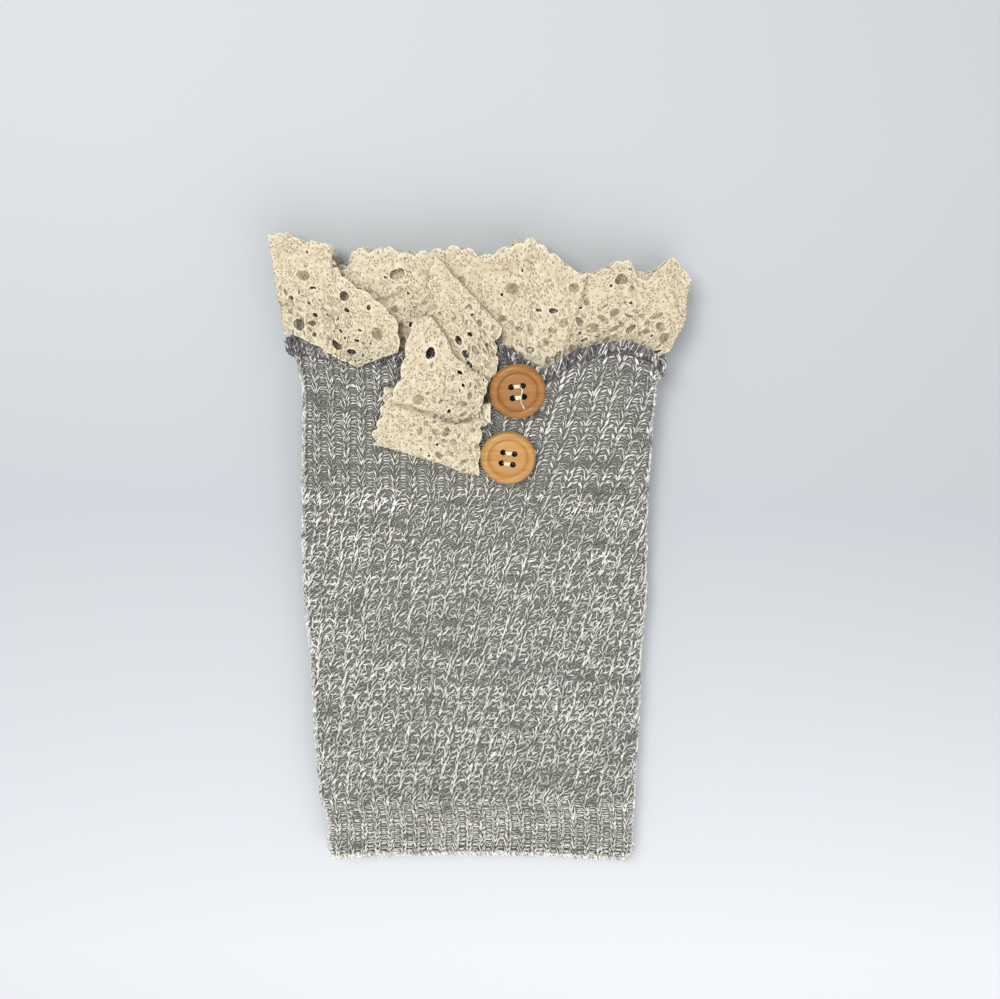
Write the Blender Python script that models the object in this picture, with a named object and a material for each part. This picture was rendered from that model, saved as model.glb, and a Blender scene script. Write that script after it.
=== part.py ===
"""Pair of knitted boot cuffs with lace tops, laid flat, the second cuff face up under the first.

The cuffs lie in the XY plane with their fronts up: +Y runs from the ribbed hem to the lace top, +X is
the wearer's left as the front is seen, and the origin is on the surface under the middle of the pair.
Sizes are in millimetres until the meshes are made, which are in metres.
"""

import math

import bmesh
import bpy
import numpy as np

MM = 0.001

# --- the knitted tube
KNIT_WALL = 2.0
BODY_SLIT = 0.7  # air between a tube's front and back panels
TOP_SLIT = 3.3  # the same at the top edge, where the lace is sewn in between them
SLIT_OPENS_FROM = 56.0  # the height on the cuff where the slit starts to widen
TOP_EDGE_Y = 76.0  # the mean line of the wavy top edge
HEM_Y = -112.2
HEM_ARCH = 2.4  # how far the middle of the hem stands above its corners
WAVE_FROM = 50.0  # rows above this take part of the top edge's wave
PANEL_COLUMNS = 18
SIDE_STEPS = 4  # straight steps round each side fold

# Each row of the tube: its height, and where its left and right side folds are.
KNIT_ROWS = (
    # y, left, right
    (-112.2, -54.6, 56.4),
    (-109.6, -56.0, 58.4),
    (-101.0, -55.0, 57.6),
    (-94.0, -55.8, 57.6),
    (-90.0, -58.0, 57.9),
    (-69.0, -58.8, 58.0),
    (-50.0, -59.1, 58.1),
    (-30.0, -59.4, 57.8),
    (-10.0, -61.0, 58.6),
    (26.0, -59.7, 57.3),
    (48.0, -58.0, 57.4),
    (56.0, -57.4, 57.6),
    (61.0, -57.2, 57.6),
    (66.0, -57.4, 57.9),
    (71.0, -58.6, 58.8),
    (76.0, -61.6, 59.6),
)

# The overlocked top edge of the front panel, which the rib pulls into waves.
TOP_EDGE = (
    # x, y
    (-62.0, 80.5),
    (-57.5, 77.3),
    (-48.0, 76.0),
    (-36.0, 74.6),
    (-22.0, 75.0),
    (-8.0, 78.0),
    (5.0, 79.6),
    (12.0, 74.2),
    (21.0, 69.6),
    (31.0, 76.4),
    (46.0, 79.2),
    (55.0, 76.0),
    (60.0, 69.6),
)

# --- the lace strip
LACE_WALL = 1.0
LACE_LAYER = 1.0  # from the knit's face to the middle of the cascade's lowest layer
FOLD_PITCH = 1.5  # between the middles of two folded layers
LACE_COLUMNS = 4  # steps across the strip's width
LEAN = 1.7  # over 1, the strip keeps to the knit at its heading and leans out towards its free edge
FOLD_STEPS = 4  # straight steps round a fold of the cascade

# Each stretch of lace is a strip between its heading, which is sewn down, and its scalloped free edge.
# A row crosses the strip. hz and fz are heights of the wall's middle: over the front face of the knit for
# a stretch that lies outside, and over the middle of the slit for one that is sewn inside.
LEFT_FRONT = (
    # hx, hy, hz, fx, fy, fz
    (-61.6, 80.6, 0.2, -65.6, 110.2, -1.0),
    (-58.6, 80.4, 1.2, -60.6, 112.0, -0.2),
    (-54.0, 78.6, 2.0, -54.6, 110.6, 0.8),
    (-49.0, 76.2, 2.2, -48.6, 107.0, 0.2),
    (-44.6, 73.4, 2.0, -42.4, 99.6, 0.6),
    (-42.2, 72.4, 1.7, -34.4, 93.0, 1.6),
    (-40.6, 71.8, 1.6, -28.2, 87.8, 2.2),
    (-39.4, 71.2, 1.6, -25.0, 81.6, 2.0),
    (-38.4, 70.8, 1.6, -25.4, 75.4, 1.8),
)
MIDDLE_FRONT = (
    (-46.0, 72.0, 0.7, -46.8, 99.4, 0.8),
    (-40.0, 71.0, 0.7, -41.4, 100.0, 0.9),
    (-33.0, 70.0, 0.7, -35.2, 107.8, 2.4),
    (-26.0, 70.0, 0.7, -27.6, 106.0, 0.8),
    (-18.0, 71.0, 0.7, -19.0, 105.8, 1.6),
    (-10.0, 73.0, 0.7, -11.0, 106.0, 2.4),
)
RIGHT_FRONT = (
    (-6.0, 73.4, 0.7, -9.8, 106.6, 1.0),
    (-1.6, 73.8, 0.7, -4.4, 107.6, 1.8),
    (3.0, 74.0, 0.7, 1.8, 104.8, 1.0),
    (9.0, 70.0, 0.7, 9.2, 107.6, 2.2),
    (17.0, 66.0, 0.7, 16.4, 112.0, 3.4),
    (25.0, 66.6, 0.7, 24.0, 104.0, 2.6),
    (30.6, 70.6, 0.7, 31.6, 100.6, 0.8),
    (37.0, 72.4, 0.7, 38.6, 101.0, 2.4),
    (44.0, 73.4, 0.7, 45.6, 103.6, 3.2),
    (50.2, 73.2, 0.7, 52.0, 98.6, 0.9),
    (54.6, 73.6, 0.7, 60.0, 103.4, 2.4),
    (59.0, 76.4, 0.8, 66.8, 98.2, 1.0),
)
BACK = (
    (58.4, 78.2, -0.8, 64.6, 97.0, -1.0),
    (55.2, 77.0, -0.7, 58.8, 100.4, -1.4),
    (48.0, 72.6, -0.7, 50.0, 100.4, -0.8),
    (36.0, 72.0, -0.7, 37.6, 99.2, -2.2),
    (25.0, 71.0, -0.7, 26.0, 100.2, -0.9),
    (12.0, 71.0, -0.7, 12.0, 103.4, -2.2),
    (-2.0, 72.0, -0.7, -2.0, 100.6, -0.9),
    (-15.0, 72.0, -0.7, -16.0, 103.2, -2.3),
    (-28.0, 71.0, -0.7, -29.0, 102.2, -0.9),
    (-41.0, 71.0, -0.7, -43.0, 101.6, -2.3),
    (-52.0, 72.4, -0.7, -55.0, 104.4, -0.9),
    (-57.4, 77.6, -0.7, -63.4, 107.6, -1.6),
)

# The cascade is the strip's own end, folded to and fro down the front beside the buttons. Each panel
# is given by its rows, and the next panel starts where this one folds over. level counts the layers
# of lace under the panel.
CASCADE = (
    # level, rows of hx, hy, fx, fy
    (0, ((7.2, 83.2, -12.6, 104.2), (4.8, 79.4, -15.6, 99.6), (5.0, 75.8, -15.4, 95.0),
         (5.6, 71.0, -12.8, 87.8), (2.4, 65.2, -17.4, 79.6))),
    (1, ((2.4, 65.2, -17.4, 79.6), (2.4, 67.0, -20.8, 82.0))),
    (2, ((2.4, 67.0, -20.8, 82.0), (1.8, 62.8, -22.2, 75.6), (0.4, 59.2, -24.0, 69.0),
         (-1.0, 55.6, -29.0, 60.0))),
    (1, ((-1.0, 55.6, -29.0, 60.0), (3.4, 54.4, -29.4, 62.0), (2.6, 59.4, -29.2, 63.8))),
    (0, ((2.6, 59.4, -29.2, 63.8), (0.2, 51.0, -31.6, 57.0), (-0.4, 42.6, -33.2, 49.6),
         (-0.8, 35.2, -33.6, 45.0))),
)

# --- the wooden buttons
BUTTON_RADIUS = 9.0
BUTTON_THICK = 3.4
BUTTON_RIM = 0.9  # how deep the dished middle lies
BUTTON_DISH_RADIUS = 6.4
BUTTON_HOLE_RADIUS = 1.0
BUTTON_HOLE_SPACING = 3.7
BUTTON_LIFT = 0.8  # the thread holds the button this far off the knit
BUTTON_SEGMENTS = 32
BUTTONS = (
    # name, x, y, turn in degrees
    ("top", 12.2, 63.7, 8.0),
    ("bottom", 9.5, 41.4, -8.0),
)

# --- how the upper cuff lies on the lower one
REST_GAP = 0.5
HUMP = 7.0  # how far the lower cuff's folded lace lifts the upper cuff's middle
HUMP_FROM, HUMP_TO = -6.0, 64.0
HUMP_LEFT_FROM, HUMP_LEFT_TO, HUMP_LEFT_DROP = 36.0, 64.0, 0.30
HUMP_RIGHT_FROM, HUMP_RIGHT_TO, HUMP_RIGHT_DROP = 20.0, 60.0, 0.50

KNIT_COLOUR = (0.42, 0.43, 0.42, 1.0)
LACE_COLOUR = (0.86, 0.81, 0.70, 1.0)
WOOD_COLOUR = (0.78, 0.50, 0.22, 1.0)


def clear_scene():
    for thing in list(bpy.data.objects):
        bpy.data.objects.remove(thing, do_unlink=True)


def smooth(low, high, value):
    share = np.clip((np.asarray(value, float) - low) / (high - low), 0.0, 1.0)
    return share * share * (3 - 2 * share)


def through(rows, steps):
    """The rows joined by a Catmull-Rom curve, with this many steps from each row to the next."""
    rows = np.array(rows, float)
    ends = np.vstack([2 * rows[0] - rows[1], rows, 2 * rows[-1] - rows[-2]])
    made = []
    for first in range(len(rows) - 1):
        a, b, c, d = ends[first : first + 4]
        for t in np.arange(steps) / steps:
            made.append(
                0.5 * (2 * b + (c - a) * t + (2 * a - 5 * b + 4 * c - d) * t**2 + (3 * b - a - 3 * c + d) * t**3)
            )
    made.append(rows[-1])
    return np.array(made)


# --- heights


def slit_at(y):
    return BODY_SLIT + (TOP_SLIT - BODY_SLIT) * smooth(SLIT_OPENS_FROM, TOP_EDGE_Y - 4.0, y)


def flat_rest(x, y):
    """The lower cuff lies on the flat surface."""
    return np.zeros(np.broadcast(x, y).shape)


def draped_rest(x, y):
    """The upper cuff lies on the lower one, lifted by its folded lace and buttons."""
    along = smooth(HUMP_FROM, HUMP_TO, y)
    left = 1 - HUMP_LEFT_DROP * smooth(HUMP_LEFT_FROM, HUMP_LEFT_TO, -np.asarray(x, float))
    right = 1 - HUMP_RIGHT_DROP * smooth(HUMP_RIGHT_FROM, HUMP_RIGHT_TO, x)
    return 2 * KNIT_WALL + BODY_SLIT + REST_GAP + HUMP * along * left * right


def slit_middle(x, y, rest):
    return rest(x, y) + KNIT_WALL + slit_at(y) / 2


def front_face(x, y, rest):
    return rest(x, y) + 2 * KNIT_WALL + slit_at(y)


# --- meshes


def make_object(name, points, faces, material):
    mesh = bpy.data.meshes.new(name)
    mesh.from_pydata([tuple(p * MM) for p in points], [], [tuple(map(int, f)) for f in faces])
    builder = bmesh.new()
    builder.from_mesh(mesh)
    bmesh.ops.recalc_face_normals(builder, faces=builder.faces)
    builder.to_mesh(mesh)
    builder.free()
    mesh.shade_smooth()
    mesh.materials.append(material)
    made = bpy.data.objects.new(name, mesh)
    bpy.context.scene.collection.objects.link(made)
    return made


def make_material(name, colour, roughness):
    material = bpy.data.materials.new(name)
    material.use_nodes = True
    shader = material.node_tree.nodes["Principled BSDF"]
    shader.inputs["Base Color"].default_value = colour
    shader.inputs["Roughness"].default_value = roughness
    return material


def section(left, right, slit, wall):
    """Points round a flattened ring: x, height over the slit's middle, and 1 in front to 0 behind."""
    radius = slit / 2 + wall
    turn = slit / 2 + KNIT_WALL
    xs = np.linspace(left + turn, right - turn, PANEL_COLUMNS + 1)
    corners = np.linspace(0, math.pi, SIDE_STEPS + 1)[1:-1]
    ring = [(x, radius, 1.0) for x in xs]
    ring += [(xs[-1] + radius * math.sin(a), radius * math.cos(a), (1 + math.cos(a)) / 2) for a in corners]
    ring += [(x, -radius, 0.0) for x in xs[::-1]]
    ring += [(xs[0] - radius * math.sin(a), -radius * math.cos(a), (1 - math.cos(a)) / 2) for a in corners]
    return np.array(ring)


def row_height(row_y, x, front):
    """Where a row of the tube runs: arched at the hem, and waved at the front's top edge."""
    edge_x, edge_y = np.array(TOP_EDGE).T
    wave = (np.interp(x, edge_x, edge_y) - TOP_EDGE_Y) * front
    arch = HEM_ARCH * (1 - (x / KNIT_ROWS[1][2]) ** 2)
    return row_y + wave * smooth(WAVE_FROM, TOP_EDGE_Y, row_y) + arch * (1 - smooth(HEM_Y, HEM_Y + 26, row_y))


def knit_tube(name, rest, material):
    rings = {"outer": [], "inner": []}
    for row_y, left, right in KNIT_ROWS:
        slit = float(slit_at(row_y))
        for side, wall in (("outer", KNIT_WALL), ("inner", 0.0)):
            ring = section(left, right, slit, wall)
            x, rise, front = ring.T
            y = row_height(row_y, x, front)
            rings[side].append(np.column_stack([x, y, slit_middle(x, np.full_like(x, row_y), rest) + rise]))
    around, rows = len(rings["outer"][0]), len(KNIT_ROWS)
    points = np.vstack(rings["outer"] + rings["inner"])
    inner = around * rows
    faces = []
    for row in range(rows - 1):
        for step in range(around):
            a, b = row * around + step, row * around + (step + 1) % around
            faces.append((a, b, b + around, a + around))
            faces.append((inner + b, inner + a, inner + a + around, inner + b + around))
    for row in (0, rows - 1):
        for step in range(around):
            a, b = row * around + step, row * around + (step + 1) % around
            faces.append((a, b, inner + b, inner + a))
    return make_object(name, points, faces, material)


def wall_from_grid(name, grid, material):
    """A lace wall: the grid of its middle, thickened to both sides along its normals."""
    along = np.gradient(grid, axis=0)
    across = np.gradient(grid, axis=1)
    normal = np.cross(along, across)
    normal /= np.linalg.norm(normal, axis=2, keepdims=True)
    upper = (grid + normal * LACE_WALL / 2).reshape(-1, 3)
    lower = (grid - normal * LACE_WALL / 2).reshape(-1, 3)
    rows, columns = grid.shape[:2]
    count = rows * columns
    faces = []
    for row in range(rows - 1):
        for column in range(columns - 1):
            a = row * columns + column
            faces.append((a, a + 1, a + columns + 1, a + columns))
            faces.append((count + a + 1, count + a, count + a + columns, count + a + columns + 1))
    rim = list(range(columns))
    rim += [row * columns + columns - 1 for row in range(1, rows)]
    rim += [(rows - 1) * columns + column for column in range(columns - 2, -1, -1)]
    rim += [row * columns for row in range(rows - 2, 0, -1)]
    for step, a in enumerate(rim):
        b = rim[(step + 1) % len(rim)]
        faces.append((a, b, count + b, count + a))
    return make_object(name, np.vstack([upper, lower]), faces, material)


def lace_stretch(name, rows, steps, reference, rest, material):
    """A stretch of the strip that stands along the top edge, from its rows."""
    share = np.linspace(0, 1, LACE_COLUMNS + 1)[None, :, None]
    table = through(rows, steps)
    grid = table[:, None, :3] * (1 - share) + table[:, None, 3:] * share
    rise = share[..., 0] ** LEAN
    grid[..., 2] = table[:, None, 2] * (1 - rise) + table[:, None, 5] * rise
    grid[..., 2] += reference(grid[..., 0], grid[..., 1], rest)
    return wall_from_grid(name, grid, material)


def cascade_grid(rest):
    """The zigzag: each panel at its level, joined to the next by a half circle."""
    share = np.linspace(0, 1, LACE_COLUMNS + 1)[:, None]
    lines = []
    for index, (level, rows) in enumerate(CASCADE):
        height = LACE_LAYER + level * FOLD_PITCH
        flat = [np.array(r[:2]) * (1 - share) + np.array(r[2:]) * share for r in rows]
        inner = flat if index == 0 else flat[1:]
        inner = inner if index == len(CASCADE) - 1 else inner[:-1]
        lines += [np.column_stack([line, np.full(len(line), height)]) for line in inner]
        if index == len(CASCADE) - 1:
            break
        # The panel stops a half pitch short of its fold line, and the half circle reaches it.
        next_height = LACE_LAYER + CASCADE[index + 1][0] * FOLD_PITCH
        way = flat[-1] - flat[-2]
        way /= np.linalg.norm(way, axis=1, keepdims=True)
        for angle in np.linspace(0, math.pi, FOLD_STEPS + 1):
            spot = flat[-1] - way * (FOLD_PITCH / 2) * (1 - math.sin(angle))
            rise = height + (next_height - height) * (1 - math.cos(angle)) / 2
            lines.append(np.column_stack([spot, np.full(len(spot), rise)]))
    grid = np.array(lines)
    grid[..., 2] += front_face(grid[..., 0], grid[..., 1], rest)
    return grid


def turned_button(name, x, y, turn, rest, material):
    """A dished disc with four holes, lying on the slope of the knit under it."""
    half, thick, dish = BUTTON_RADIUS, BUTTON_THICK, BUTTON_DISH_RADIUS
    profile = (
        # radius, height
        (0.0, thick - BUTTON_RIM),
        (dish - 0.7, thick - BUTTON_RIM),
        (dish, thick - 0.35),
        (dish + 1.0, thick),
        (half - 0.8, thick - 0.3),
        (half, thick * 0.55),
        (half - 0.6, thick * 0.22),
        (half - 2.6, 0.0),
        (0.0, 0.0),
    )
    angles = np.arange(BUTTON_SEGMENTS) * 2 * math.pi / BUTTON_SEGMENTS
    points = [(0.0, 0.0, profile[0][1])]
    for radius, height in profile[1:-1]:
        points += [(radius * math.cos(a), radius * math.sin(a), height) for a in angles]
    points.append((0.0, 0.0, 0.0))
    count, last = BUTTON_SEGMENTS, len(points) - 1
    faces = []
    for step in range(count):
        after = (step + 1) % count
        faces.append((0, 1 + step, 1 + after))
        for ring in range(len(profile) - 3):
            a, b = 1 + ring * count + step, 1 + ring * count + after
            faces.append((a, a + count, b + count, b))
        faces.append((last, last - count + after, last - count + step))
    made = make_object(name, np.array(points), faces, material)
    for index, (sx, sy) in enumerate(((1, 1), (-1, 1), (-1, -1), (1, -1))):
        bpy.ops.mesh.primitive_cylinder_add(vertices=14, radius=BUTTON_HOLE_RADIUS * MM, depth=4 * thick * MM)
        drill = bpy.context.object
        drill.name = f"{name}_drill_{index}"
        drill.location = (sx * BUTTON_HOLE_SPACING / 2 * MM, sy * BUTTON_HOLE_SPACING / 2 * MM, 0.0)
        drill.parent = made
        drill.hide_render = True
        drill.display_type = "WIRE"
        cut = made.modifiers.new(f"hole_{index}", "BOOLEAN")
        cut.operation = "DIFFERENCE"
        cut.object = drill
    reach = BUTTON_RADIUS
    slope_x = (front_face(x + reach, y, rest) - front_face(x - reach, y, rest)) / (2 * reach)
    slope_y = (front_face(x, y + reach, rest) - front_face(x, y - reach, rest)) / (2 * reach)
    spots = [(x + reach * math.cos(a), y + reach * math.sin(a)) for a in angles]
    over = [
        front_face(sx, sy, rest) - front_face(x, y, rest) - slope_x * (sx - x) - slope_y * (sy - y)
        for sx, sy in spots
    ]
    seat = float(front_face(x, y, rest)) + max(0.0, float(max(over))) + BUTTON_LIFT
    made.location = (x * MM, y * MM, seat * MM)
    made.rotation_mode = "XYZ"
    made.rotation_euler = (math.atan(slope_y), -math.atan(slope_x), math.radians(turn))
    return made


def build_cuff(which, rest, knit, lace, wood):
    knit_tube(f"{which}_knit_tube", rest, knit)
    lace_stretch(f"{which}_lace_front_left", LEFT_FRONT, 2, front_face, rest, lace)
    lace_stretch(f"{which}_lace_front_middle", MIDDLE_FRONT, 2, slit_middle, rest, lace)
    lace_stretch(f"{which}_lace_front_right", RIGHT_FRONT, 2, slit_middle, rest, lace)
    lace_stretch(f"{which}_lace_back", BACK, 2, slit_middle, rest, lace)
    wall_from_grid(f"{which}_lace_cascade", cascade_grid(rest), lace)
    for place, x, y, turn in BUTTONS:
        turned_button(f"{which}_button_{place}", x, y, turn, rest, wood)


def main():
    clear_scene()
    knit = make_material("knit", KNIT_COLOUR, 0.95)
    lace = make_material("lace", LACE_COLOUR, 0.9)
    wood = make_material("wood", WOOD_COLOUR, 0.45)
    build_cuff("lower", flat_rest, knit, lace, wood)
    build_cuff("upper", draped_rest, knit, lace, wood)


main()
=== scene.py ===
"""The looks of a pair of knitted boot cuffs: yarn loops, cut lace, overlocked edges and wooden buttons.

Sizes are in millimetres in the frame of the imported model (+Y to the lace, +Z out of the fronts), and
become metres when a mesh is made. The construction sizes repeat those of the CAD solids.
"""

import math

import bpy
import numpy as np
from mathutils import Euler, Matrix, Vector


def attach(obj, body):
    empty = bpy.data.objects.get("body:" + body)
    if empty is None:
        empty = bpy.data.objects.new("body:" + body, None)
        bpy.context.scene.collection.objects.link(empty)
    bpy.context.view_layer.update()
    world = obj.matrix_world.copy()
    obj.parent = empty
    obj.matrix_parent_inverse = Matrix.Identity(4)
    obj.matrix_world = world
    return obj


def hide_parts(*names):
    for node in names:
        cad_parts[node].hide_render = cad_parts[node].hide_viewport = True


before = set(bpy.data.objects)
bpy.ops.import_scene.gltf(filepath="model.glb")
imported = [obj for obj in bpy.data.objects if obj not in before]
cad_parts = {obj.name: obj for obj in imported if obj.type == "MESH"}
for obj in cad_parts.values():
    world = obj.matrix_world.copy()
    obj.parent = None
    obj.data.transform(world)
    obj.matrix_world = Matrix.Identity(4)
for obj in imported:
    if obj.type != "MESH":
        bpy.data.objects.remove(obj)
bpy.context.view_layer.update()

MM = 0.001

# --- the construction, as in the CAD solids
KNIT_WALL = 2.0
BODY_SLIT = 0.7  # the tube's hollow, as it lies
TOP_SLIT = 3.3  # the same at the top edge, where the lace goes in
SLIT_OPENS_FROM = 56.0
TOP_EDGE_Y = 76.0
HEM_Y = -112.2
HEM_ARCH = 2.4
HEM_ARCH_FADE = 26.0
HEM_HALF_WIDTH = 58.4
WAVE_FROM = 50.0
KNIT_ROWS = (
    # y, left, right
    (-112.2, -54.6, 56.4),
    (-109.6, -56.0, 58.4),
    (-101.0, -55.0, 57.6),
    (-94.0, -55.8, 57.6),
    (-90.0, -58.0, 57.9),
    (-69.0, -58.8, 58.0),
    (-50.0, -59.1, 58.1),
    (-30.0, -59.4, 57.8),
    (-10.0, -61.0, 58.6),
    (26.0, -59.7, 57.3),
    (48.0, -58.0, 57.4),
    (56.0, -57.4, 57.6),
    (61.0, -57.2, 57.6),
    (66.0, -57.4, 57.9),
    (71.0, -58.6, 58.8),
    (76.0, -61.6, 59.6),
)
TOP_EDGE = (
    # x, y
    (-62.0, 80.5),
    (-57.5, 77.3),
    (-48.0, 76.0),
    (-36.0, 74.6),
    (-22.0, 75.0),
    (-8.0, 78.0),
    (5.0, 79.6),
    (12.0, 74.2),
    (21.0, 69.6),
    (31.0, 76.4),
    (46.0, 79.2),
    (55.0, 76.0),
    (60.0, 69.6),
)
REST_GAP = 0.5  # between the two cuffs
HUMP = 7.0  # the rise of the upper cuff over the lower one's lace
HUMP_FROM, HUMP_TO = -6.0, 64.0
HUMP_LEFT_FROM, HUMP_LEFT_TO, HUMP_LEFT_DROP = 36.0, 64.0, 0.30
HUMP_RIGHT_FROM, HUMP_RIGHT_TO, HUMP_RIGHT_DROP = 20.0, 60.0, 0.50

# --- the photograph's view
LENS_MM = 36.0
SENSOR_MM = 36.0
VIEW_TILT = 14.3  # degrees from square on, with the camera nearer the lace end
VIEW_ROLL = 0.53
VIEW_DISTANCE = 335.0
VIEW_CENTRE = (7.0, 25.7, 12.0)

# --- the yarn
WALE = 4.83  # from one rib column to the next
YARN_TONES = (
    # name, red, green, blue, as display values
    ("yarn_charcoal", 128, 127, 122),
    ("yarn_grey", 190, 190, 183),
    ("yarn_ash", 214, 213, 203),
    ("yarn_silver", 232, 230, 218),
    ("yarn_cream", 248, 243, 227),
)
THREAD_TONES = (
    # the overlocking's: purple-grey, with a few light ends of yarn
    ("thread_plum", 74, 68, 72),
    ("thread_slate", 98, 92, 97),
    ("thread_grey", 150, 146, 145),
    ("thread_light", 226, 222, 214),
)
BUTTON_THREAD = (("button_thread", 232, 212, 192),)
YARN_UNEVEN = (0.80, 1.46)  # the dye's darkest and lightest, as shares of its tone


def display(red, green, blue):
    """A display colour as the linear values that shaders take."""
    shares = np.array([red, green, blue]) / 255
    linear = np.where(shares <= 0.04045, shares / 12.92, ((shares + 0.055) / 1.055) ** 2.4)
    return (*map(float, linear), 1.0)


def smooth(low, high, value):
    """0 at low, 1 at high, and eased between."""
    share = np.clip((np.asarray(value, float) - low) / (high - low), 0.0, 1.0)
    return share * share * (3 - 2 * share)


# --- heights and outlines of the two tubes


def slit_at(y):
    """The height of the hollow between a tube's back and front."""
    return BODY_SLIT + (TOP_SLIT - BODY_SLIT) * smooth(SLIT_OPENS_FROM, TOP_EDGE_Y - 4.0, y)


def flat_rest(x, y):
    """The under side of the lower cuff, flat on the floor."""
    return np.zeros(np.broadcast(x, y).shape)


def draped_rest(x, y):
    """The under side of the upper cuff, raised towards its top by the lace of the lower one."""
    along = smooth(HUMP_FROM, HUMP_TO, y)
    left = 1 - HUMP_LEFT_DROP * smooth(HUMP_LEFT_FROM, HUMP_LEFT_TO, -np.asarray(x, float))
    right = 1 - HUMP_RIGHT_DROP * smooth(HUMP_RIGHT_FROM, HUMP_RIGHT_TO, x)
    return 2 * KNIT_WALL + BODY_SLIT + REST_GAP + HUMP * along * left * right


def slit_middle(x, y, rest):
    """The height of the middle of the tube's hollow."""
    return rest(x, y) + KNIT_WALL + slit_at(y) / 2


def front_face(x, y, rest):
    """The height of the front's outer face."""
    return rest(x, y) + 2 * KNIT_WALL + slit_at(y)


def tube_sides(y):
    """The tube's left and right outline."""
    rows = np.array(KNIT_ROWS)
    return np.interp(y, rows[:, 0], rows[:, 1]), np.interp(y, rows[:, 0], rows[:, 2])


def row_height(row_y, x, front):
    """A row's height at x: the top edge waves on the front, and the hem is arched."""
    edge_x, edge_y = np.array(TOP_EDGE).T
    wave = (np.interp(x, edge_x, edge_y) - TOP_EDGE_Y) * front
    arch = HEM_ARCH * (1 - (x / HEM_HALF_WIDTH) ** 2)
    in_hem = 1 - smooth(HEM_Y, HEM_Y + HEM_ARCH_FADE, row_y)
    return row_y + wave * smooth(WAVE_FROM, TOP_EDGE_Y, row_y) + arch * in_hem


def tube_point(girth, row_y, lift, rest):
    """The point this far round the tube from the front's middle line, on its row, and the way out of it.

    girth is positive to the right; past a side fold it runs on round to the back.
    """
    left, right = tube_sides(row_y)
    half_slit = slit_at(row_y) / 2
    flat = (right - left) / 2 - half_slit - KNIT_WALL
    radius = half_slit + KNIT_WALL
    past = np.maximum(np.abs(girth) - flat, 0.0)
    angle = np.minimum(past / radius, math.pi)
    on_back = np.maximum(past - math.pi * radius, 0.0)
    side = np.sign(girth)
    middle = (left + right) / 2
    out = radius + lift
    x = middle + side * (np.minimum(np.abs(girth), flat) + out * np.sin(angle) - on_back)
    front = (1 + np.cos(angle)) / 2
    y = row_height(row_y, x, front)
    z = slit_middle(x, row_y, rest) + out * np.cos(angle)
    way = np.stack([side * np.sin(angle), np.zeros_like(angle), np.cos(angle)], axis=-1)
    return np.stack([x, y, z], axis=-1), way


# --- meshes


def mesh_piece(name, points, faces, materials, slots=None, uv=None, shade_smooth=True, values=()):
    """An object from arrays: points in millimetres, and faces as arrays of quads and of triangles."""
    faces = [np.asarray(f, np.int32) for f in faces if len(f)]
    corners = np.concatenate([f.reshape(-1) for f in faces])
    sizes = np.concatenate([np.full(len(f), f.shape[1], np.int32) for f in faces])
    starts = np.concatenate([[0], np.cumsum(sizes)[:-1]]).astype(np.int32)
    mesh = bpy.data.meshes.new(name)
    mesh.vertices.add(len(points))
    points = np.array(points, np.float64)
    points[:, 2] = np.maximum(points[:, 2], 0)
    mesh.vertices.foreach_set("co", (points * MM).astype(np.float32).reshape(-1))
    mesh.loops.add(len(corners))
    mesh.loops.foreach_set("vertex_index", corners)
    mesh.polygons.add(len(sizes))
    mesh.polygons.foreach_set("loop_start", starts)
    for material in materials:
        mesh.materials.append(material)
    if slots is not None:
        mesh.polygons.foreach_set("material_index", np.asarray(slots, np.int32))
    if uv is not None:
        layer = mesh.uv_layers.new(name="cloth")
        layer.data.foreach_set("uv", np.asarray(uv, np.float32)[corners].reshape(-1))
    for label, value in values:
        attribute = mesh.attributes.new(label, "FLOAT", "POINT")
        attribute.data.foreach_set("value", np.asarray(value, np.float32))
    mesh.update(calc_edges=True)
    mesh.polygons.foreach_set("use_smooth", np.full(len(sizes), shade_smooth))
    made = bpy.data.objects.new(name, mesh)
    bpy.context.scene.collection.objects.link(made)
    return made


def strands(lines, radii, ups, slots, sides=3):
    """Tubes along many lines at once: (lines, points along, 3), with a radius and a way up at each point.

    Gives points, side quads, end triangles, and a slot for each quad and each end.
    """
    count, along = lines.shape[:2]
    tangent = np.gradient(lines, axis=1)
    tangent /= np.maximum(np.linalg.norm(tangent, axis=2, keepdims=True), 1e-9)
    across = np.cross(tangent, ups)
    across /= np.maximum(np.linalg.norm(across, axis=2, keepdims=True), 1e-9)
    over = np.cross(across, tangent)
    angles = math.pi / 2 + np.arange(sides) * 2 * math.pi / sides
    points = (
        lines[:, :, None]
        + radii[:, :, None, None] * np.cos(angles)[None, None, :, None] * across[:, :, None]
        + radii[:, :, None, None] * np.sin(angles)[None, None, :, None] * over[:, :, None]
    )
    index = np.arange(count * along * sides).reshape(count, along, sides)
    after = np.roll(index, -1, axis=2)
    quads = np.stack([index[:, :-1], after[:, :-1], after[:, 1:], index[:, 1:]], axis=-1)
    quad_slots = np.repeat(slots.reshape(count, along - 1, 1), sides, axis=2).reshape(-1)
    ends = np.concatenate([index[:, 0, ::-1], index[:, -1]])
    fans = np.stack([ends[:, [0, corner, corner + 1]] for corner in range(1, sides - 1)], 1)
    end_slots = np.repeat(np.concatenate([slots[:, 0], slots[:, -1]]), sides - 2)
    return points.reshape(-1, 3), quads.reshape(-1, 4), fans.reshape(-1, 3), quad_slots, end_slots


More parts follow.
